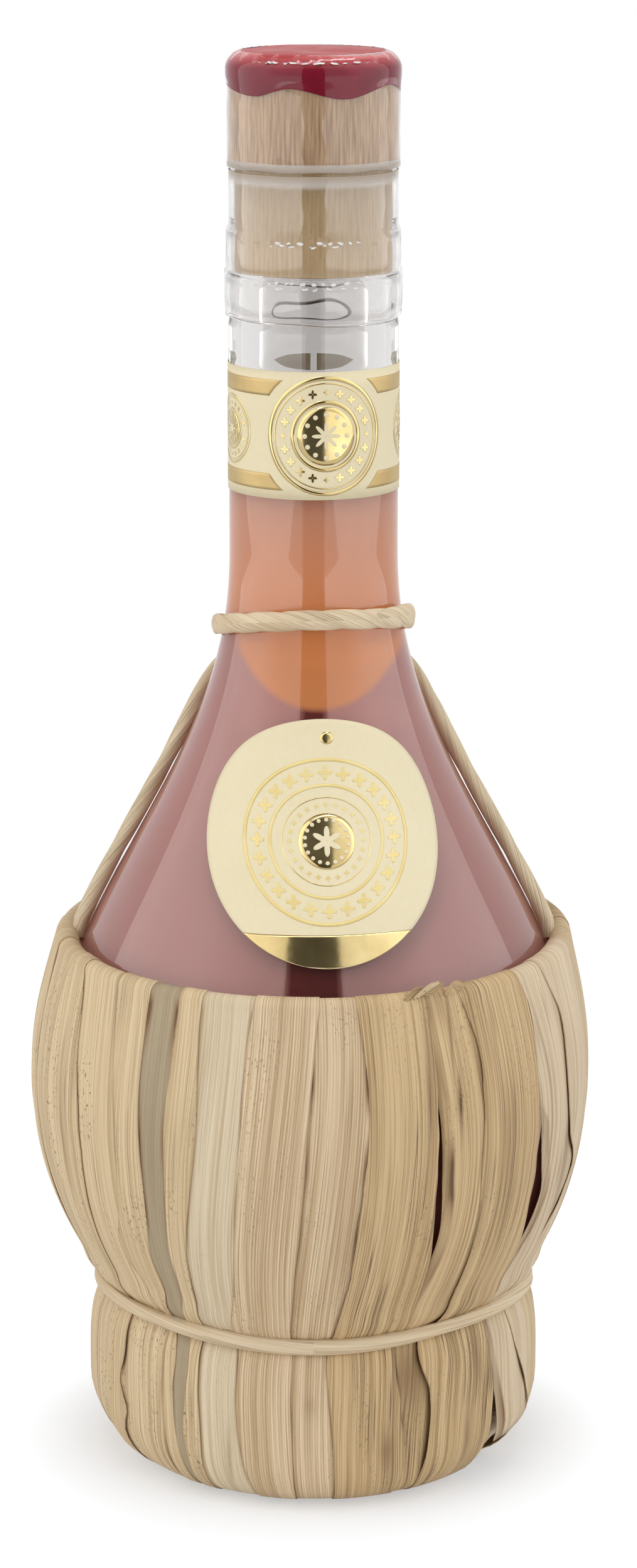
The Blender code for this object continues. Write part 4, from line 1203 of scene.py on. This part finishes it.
def buildLeaf(number):
    # Columns from seam to seam are laid on the bed; odd leaves lie outside, even ones are tucked under them.
    b = basket
    outer = number % 2
    lifts = seamLift(number), seamLift(number + 1)
    tuck = 0 if outer else b["tuckDegrees"]
    middle = (seams[number][0] + seams[number + 1][0]) / 2
    z = bedGrid(np.full((rowTotal, 1), middle))[1]
    left, right = seamAt(number, z) - tuck, seamAt(number + 1, z) + tuck
    if number in gapingLefts:
        left = readPath(gapingLefts[number], z)
    draw = np.random.default_rng(100 + number)
    if outer:
        rough = b["rough"][number >= 9]
        left = left + rough * (ripple(200 + number, 6, 0.15, 1.0, z) + 0.4 * ripple(300 + number, 4, 2, 5, z))
        right = right + rough * ripple(400 + number, 6, 0.15, 1.0, z)
    columns = int(np.clip((right - left).mean() * 2.2, 18, 34))
    # A few close columns lie at each edge, or at the seam where an inner leaf comes out from under its
    # neighbour; the seam's line of painted shade lies on them.
    span = (right - left).mean()
    close = (np.array([0, 0.15, 0.45, 0.8]) + tuck) / span
    close = close if outer else np.concatenate([[0], close])
    even = np.linspace(close[-1], 1 - close[-1], columns)[1:-1]
    share = np.concatenate([close, even, 1 - close[::-1]])[None, :]
    degrees = left + (right - left) * share
    fromSeam = np.abs(np.minimum(share, 1 - share) * span - tuck)
    radius, height, outR, outZ = bedGrid(degrees)
    # The leaf's own form: a low crown, long soft ridges and outer edges that stand off a little.
    across = (degrees - middle) * 0.82
    rows = np.arange(rowTotal)[:, None]
    free = smooth(rows, 12, 34) * smooth(height, 4.5, 12)
    crown = b["crown"][number > 9] * (1 - (2 * share - 1) ** 2)
    ridges = b["ridges"] * ripple(500 + number, 5, 0.5, 2.2, across * 1.1, height * 0.03)
    wave = 0.6 + 0.4 * np.sin(height * 0.11 + number)
    upper, lower = (b["outerLayer"], b["footOuter"]) if outer else (b["innerLayer"], b["footInner"])
    layer = lower + (upper - lower) * smooth(height, 3, 12)
    edges = outer * (lifts[0] * smooth(0.2 - share, 0, 0.2) + lifts[1] * smooth(share - 0.8, 0, 0.2))
    sunk = leafSinks.get(number, 0) * smooth(height, 30, 26) * smooth(height, 4, 9)
    off = layer + free * (crown + ridges + edges * wave) - sunk
    if number in leafFolds:
        rise, half, path = leafFolds[number]
        stood = np.maximum(0, 1 - np.abs(degrees - readPath(path, height)) / half)
        waist = waistHeight(degrees)
        off = off + rise * stood * smooth(height, waist - 2, waist - 7) * smooth(height, 3, 8)
    at = around(radius + outR * off, degrees, height + outZ * off)
    run = runAlong(at[:, columns // 2])
    # The fibres follow a smooth line down the leaf's middle and draw a little closer where it narrows.
    spine = np.polynomial.Polynomial.fit(run, ((left + right) / 2)[:, 0], 4)(run)[:, None]
    aside = np.radians(degrees - spine) * np.sqrt(radius * radius.max())
    uv = np.stack(np.broadcast_arrays(aside, run[:, None]), -1) / 10
    # Paint: spots of stain and of painted shade, a breath of stain on the rim's fold, and the uneven line of
    # painted shade at the seams.
    hoopZ = hoopAt(degrees)[1]
    fold = smooth(height, hoopZ - 1.5, hoopZ + 0.6)
    paint = 0.1 * fold * draw.uniform(0, 1)
    for angle, level, wide, tall, strength in leafTouches.get(number, ()):
        paint += strength * np.exp(-(((degrees - angle) / wide) ** 2) - ((height - level) / tall) ** 2)
    uneven = np.clip(0.62 + 0.5 * ripple(600 + number, 6, 0.08, 0.5, height), 0.1, 1.2)
    wide, depth = b["seamShade"][outer]
    paint += depth * uneven * np.clip(1 - fromSeam / wide, 0, 1) * (1 - 0.8 * fold)
    kept = rowTotal
    if number in cutEnds:
        kept = int((height[:, 0] > cutEnds[number]).nonzero()[0].max()) + 1
    patch = {"at": at[:kept], "uv": uv[:kept], "paint": paint[:kept]}
    tone, name = tones[number], f"leaf_{number + 1:02d}"
    leaf = makePiece(name, [patch], straw[tone], stands=["straw_" + name], wall=b["wall"])
    seedPiece(leaf, number * 3.7)


# Loose ends, as name, tone, width in millimetres, and the path as (angle, out and up from the hoop's middle).
scraps = (
    ("shred_01", "brown", 1.3, ((19.5, 1.6, 1.2), (22.5, 1.3, 2.6), (25.5, 1.7, 2.2), (28.6, 1.3, 3.3))),
    ("shred_02", "pale", 1.0, ((21.5, 1.9, 1.4), (25, 2.0, 3.2), (27.5, 1.6, 3.6))),
    ("shred_03", "brown", 1.0, ((29, 1.7, 1.2), (31.5, 1.5, 2.9), (34, 1.7, 2.2))),
)


def buildScrap(name, tone, wide, path):
    # A strip that tapers to its ends and cups a little outwards.
    route = through(np.array(path), 28)
    degrees, out, up = route.T
    hoopR, hoopZ = hoopAt(degrees)[:2]
    middle = around(hoopR + out, degrees, hoopZ + up)
    away = around(1.0, degrees, 0.0)
    side = np.cross(np.gradient(middle, axis=0), away)
    side = side / np.linalg.norm(side, axis=1, keepdims=True)
    across = np.linspace(-1, 1, 7)[None, :, None]
    taper = (0.35 + 0.65 * np.sin(np.linspace(0.12, 0.9, 28) * np.pi))[:, None, None]
    at = middle[:, None] + side[:, None] * across * taper * wide / 2 + away[:, None] * 0.12 * wide * across**2
    across, run = np.broadcast_arrays(across[..., 0], runAlong(middle)[:, None])
    patch = {"at": at, "uv": np.stack([across * wide / 2, run], -1) / 10, "paint": 0.25 * np.abs(across) ** 6}
    seedPiece(makePiece(f"scrap_{name}", [patch], straw[tone], wall=0.14), wide * 7)


for number in range(len(tones)):
    buildLeaf(number)
for scrap in scraps:
    buildScrap(*scrap)
print("stage: leaves made")


cords = {
    # Sections as depth outwards and height along the surface, then the twist's lays, pitch and depth.
    "neck": (0.85, 1.8, 3, 22, 0.14), "neckEnd": (0.85, 2.0, 3, 20, 0.14), "side": (1.4, 1.7, 2, 34, 0.10),
    "waist": (1.25, 1.45, 2, 118, 0.2), "hoop": (0.75, 0.75, 2, 9, 0.1), "roll": (7, 60, 0.07),
    "rollWide": 5.6,
    # The neck cord: how far under the neck's foot, how much higher at the front and the right, how far out,
    # and the angles between which its thicker end lies over it.
    "neckFall": 13.8, "neckSlope": 3.4, "neckSkew": 0.5, "neckOff": 1.1, "endSpan": (30, 104),
    # The carrying cords: distance from the glass, length inside the fold, share of the way up and angle.
    "sideOff": 1.5, "sideFold": 3.0,
    "sideRoute": ((0, 88), (0.2, 91), (0.42, 95), (0.62, 100), (0.78, 107), (0.9, 120), (0.97, 140),
                  (1, 166)),
    "waistOff": 1.3,
}


def cordPatch(path, deep, tall, lays, pitch, depth, sides=24, closed=False, ends=0.0):
    # A twisted cord: at each point of the path an oval section, deep outwards and tall along the surface,
    # whose radius dips between the lays as they wind once for each pitch.
    path = np.asarray(path, float)
    deep, tall = (np.reshape(size, (-1, 1)) for size in (deep, tall))
    if closed:
        way = np.roll(path, -1, 0) - np.roll(path, 1, 0)
        path, way = np.concatenate([path, path[:1]]), np.concatenate([way, way[:1]])
    else:
        way = np.gradient(path, axis=0)
    way = way / np.linalg.norm(way, axis=1, keepdims=True)
    away = path * [1, 1, 0]
    away = away - way * (away * way).sum(1, keepdims=True)
    away = away / np.linalg.norm(away, axis=1, keepdims=True)
    side = np.cross(way, away)
    run = runAlong(path)
    turn = np.linspace(0, 2 * np.pi, sides + 1)[None, :]
    wind = 2 * np.pi * run / pitch
    if closed:
        wind = 2 * np.pi * np.round(run[-1] / pitch) * run / run[-1]
    swell = 1 - depth * np.abs(np.cos((turn - wind[:, None]) * lays / 2)) ** 6
    if ends:
        # The section shrinks to a point over this length at both ends.
        swell = swell * np.clip(np.minimum(run, run[-1] - run) / ends, 0, 1)[:, None] ** 0.5
    at = path[:, None] + (away[:, None] * (np.cos(turn) * swell * deep)[..., None]
                          + side[:, None] * (np.sin(turn) * swell * tall)[..., None])
    twist = (turn - wind[:, None]) * (deep + tall) / 2
    return {"at": at, "uv": np.stack([twist, run[:, None] + 0 * turn], -1) / 10}


def makeCord(node, patches, look, seed):
    piece = makePiece(node + "_twist", patches, straw[look], stands=[node])
    seedPiece(piece, seed)


def buildNeckCord():
    # It slopes down to the back with the cosine of the angle; a thicker end lies over it at the front right.
    def route(degrees, extra=0.0):
        turn = np.radians(degrees)
        height = flask["neckFoot"] - cords["neckFall"] + cords["neckSlope"] * np.cos(turn)
        height = height + cords["neckSkew"] * np.sin(turn)
        return around(shellRadius(height - 0.85) + cords["neckOff"] + extra, degrees, height + lift)

    ring = cordPatch(route(np.arange(0, 360, 1.5)), *cords["neck"], closed=True)
    degrees = np.linspace(*cords["endSpan"], 70)
    laid = route(degrees, 0.3) + (0.2 + 0.5 * smooth(degrees, 40, 80))[:, None] * [0, 0, 1]
    makeCord("neck_cord", [ring, cordPatch(laid, *cords["neckEnd"], ends=8)], "cord", 5.0)


def buildSideCords():
    # Each climbs the shoulder square to the glass, from the rim's fold to behind the neck.
    foldTop = hoopAt(88)[1] + basket["hoop"] + 2 * pack - lift
    off = cords["sideOff"]
    top = flask["neckFoot"] - cords["neckFall"] - cords["neckSlope"] - 1.7 - off
    share, degrees = through(cords["sideRoute"], 90).T
    height = foldTop + 0.3 + (top - foldTop) * share
    radius = shellRadius(height)
    slope = np.stack([shellRadius(height - off) - radius, np.full(len(height), -off)], -1)
    slope = slope / np.linalg.norm(slope, axis=1, keepdims=True)
    radius, height = radius - slope[:, 1] * off, height + slope[:, 0] * off
    dip = np.linspace(1, 0, 8, endpoint=False)[:, None]
    for name, side in (("left", -1), ("right", 1)):
        path = around(radius, side * degrees, height + lift)
        inFold = path[0] - dip * [0, 0, cords["sideFold"]] + dip * path[0] * [0.015, 0.015, 0]
        patch = cordPatch(np.concatenate([inFold, path]), *cords["side"])
        makeCord("side_cord_" + name, [patch], "dry", 9.0 + side)


def buildWaistCord():
    # A ring at the waist's height, as far out as the two layers of leaf.
    degrees = np.arange(0, 360, 1.5)
    height = waistHeight(degrees)
    radius = shellRadius(height - lift) + basket["air"] + 2 * pack + basket["clear"] + cords["waistOff"]
    patch = cordPatch(around(radius, degrees, height), *cords["waist"], sides=40, closed=True)
    makeCord("waist_cord", [patch], "cord", 2.0)


def buildHidden():
    # The hoop inside the rim and the two straw rolls inside the foot.
    degrees = np.arange(0, 360, 3.0)
    hoopR, hoopZ = hoopAt(degrees)[:2]
    hoop = cordPatch(around(hoopR, degrees, hoopZ), *cords["hoop"], sides=12, closed=True)
    makeCord("rim_hoop", [hoop], "dry", 1.0)
    # The lower roll is pressed narrower and inwards at the sides, where the leaves turn under earlier.
    beside = np.sin(np.radians(np.append(degrees, 0))) ** 2
    for name, turns, pressed, seed in (("lower", 1, 1.0, 3.0), ("upper", 3, 0.0, 4.0)):
        radius, height = basket["ring"] - pressed * (0.3 + beside[:-1]), 2 * pack + basket["roll"] * turns
        wide = cords["rollWide"] - pressed * (0.5 + 0.9 * beside)
        path = around(radius, degrees, height)
        roll = cordPatch(path, wide, wide, *cords["roll"], sides=56, closed=True)
        makeCord("foot_roll_" + name, [roll], "dry", seed)


buildNeckCord()
buildSideCords()
buildWaistCord()
buildHidden()
print("stage: cords made")
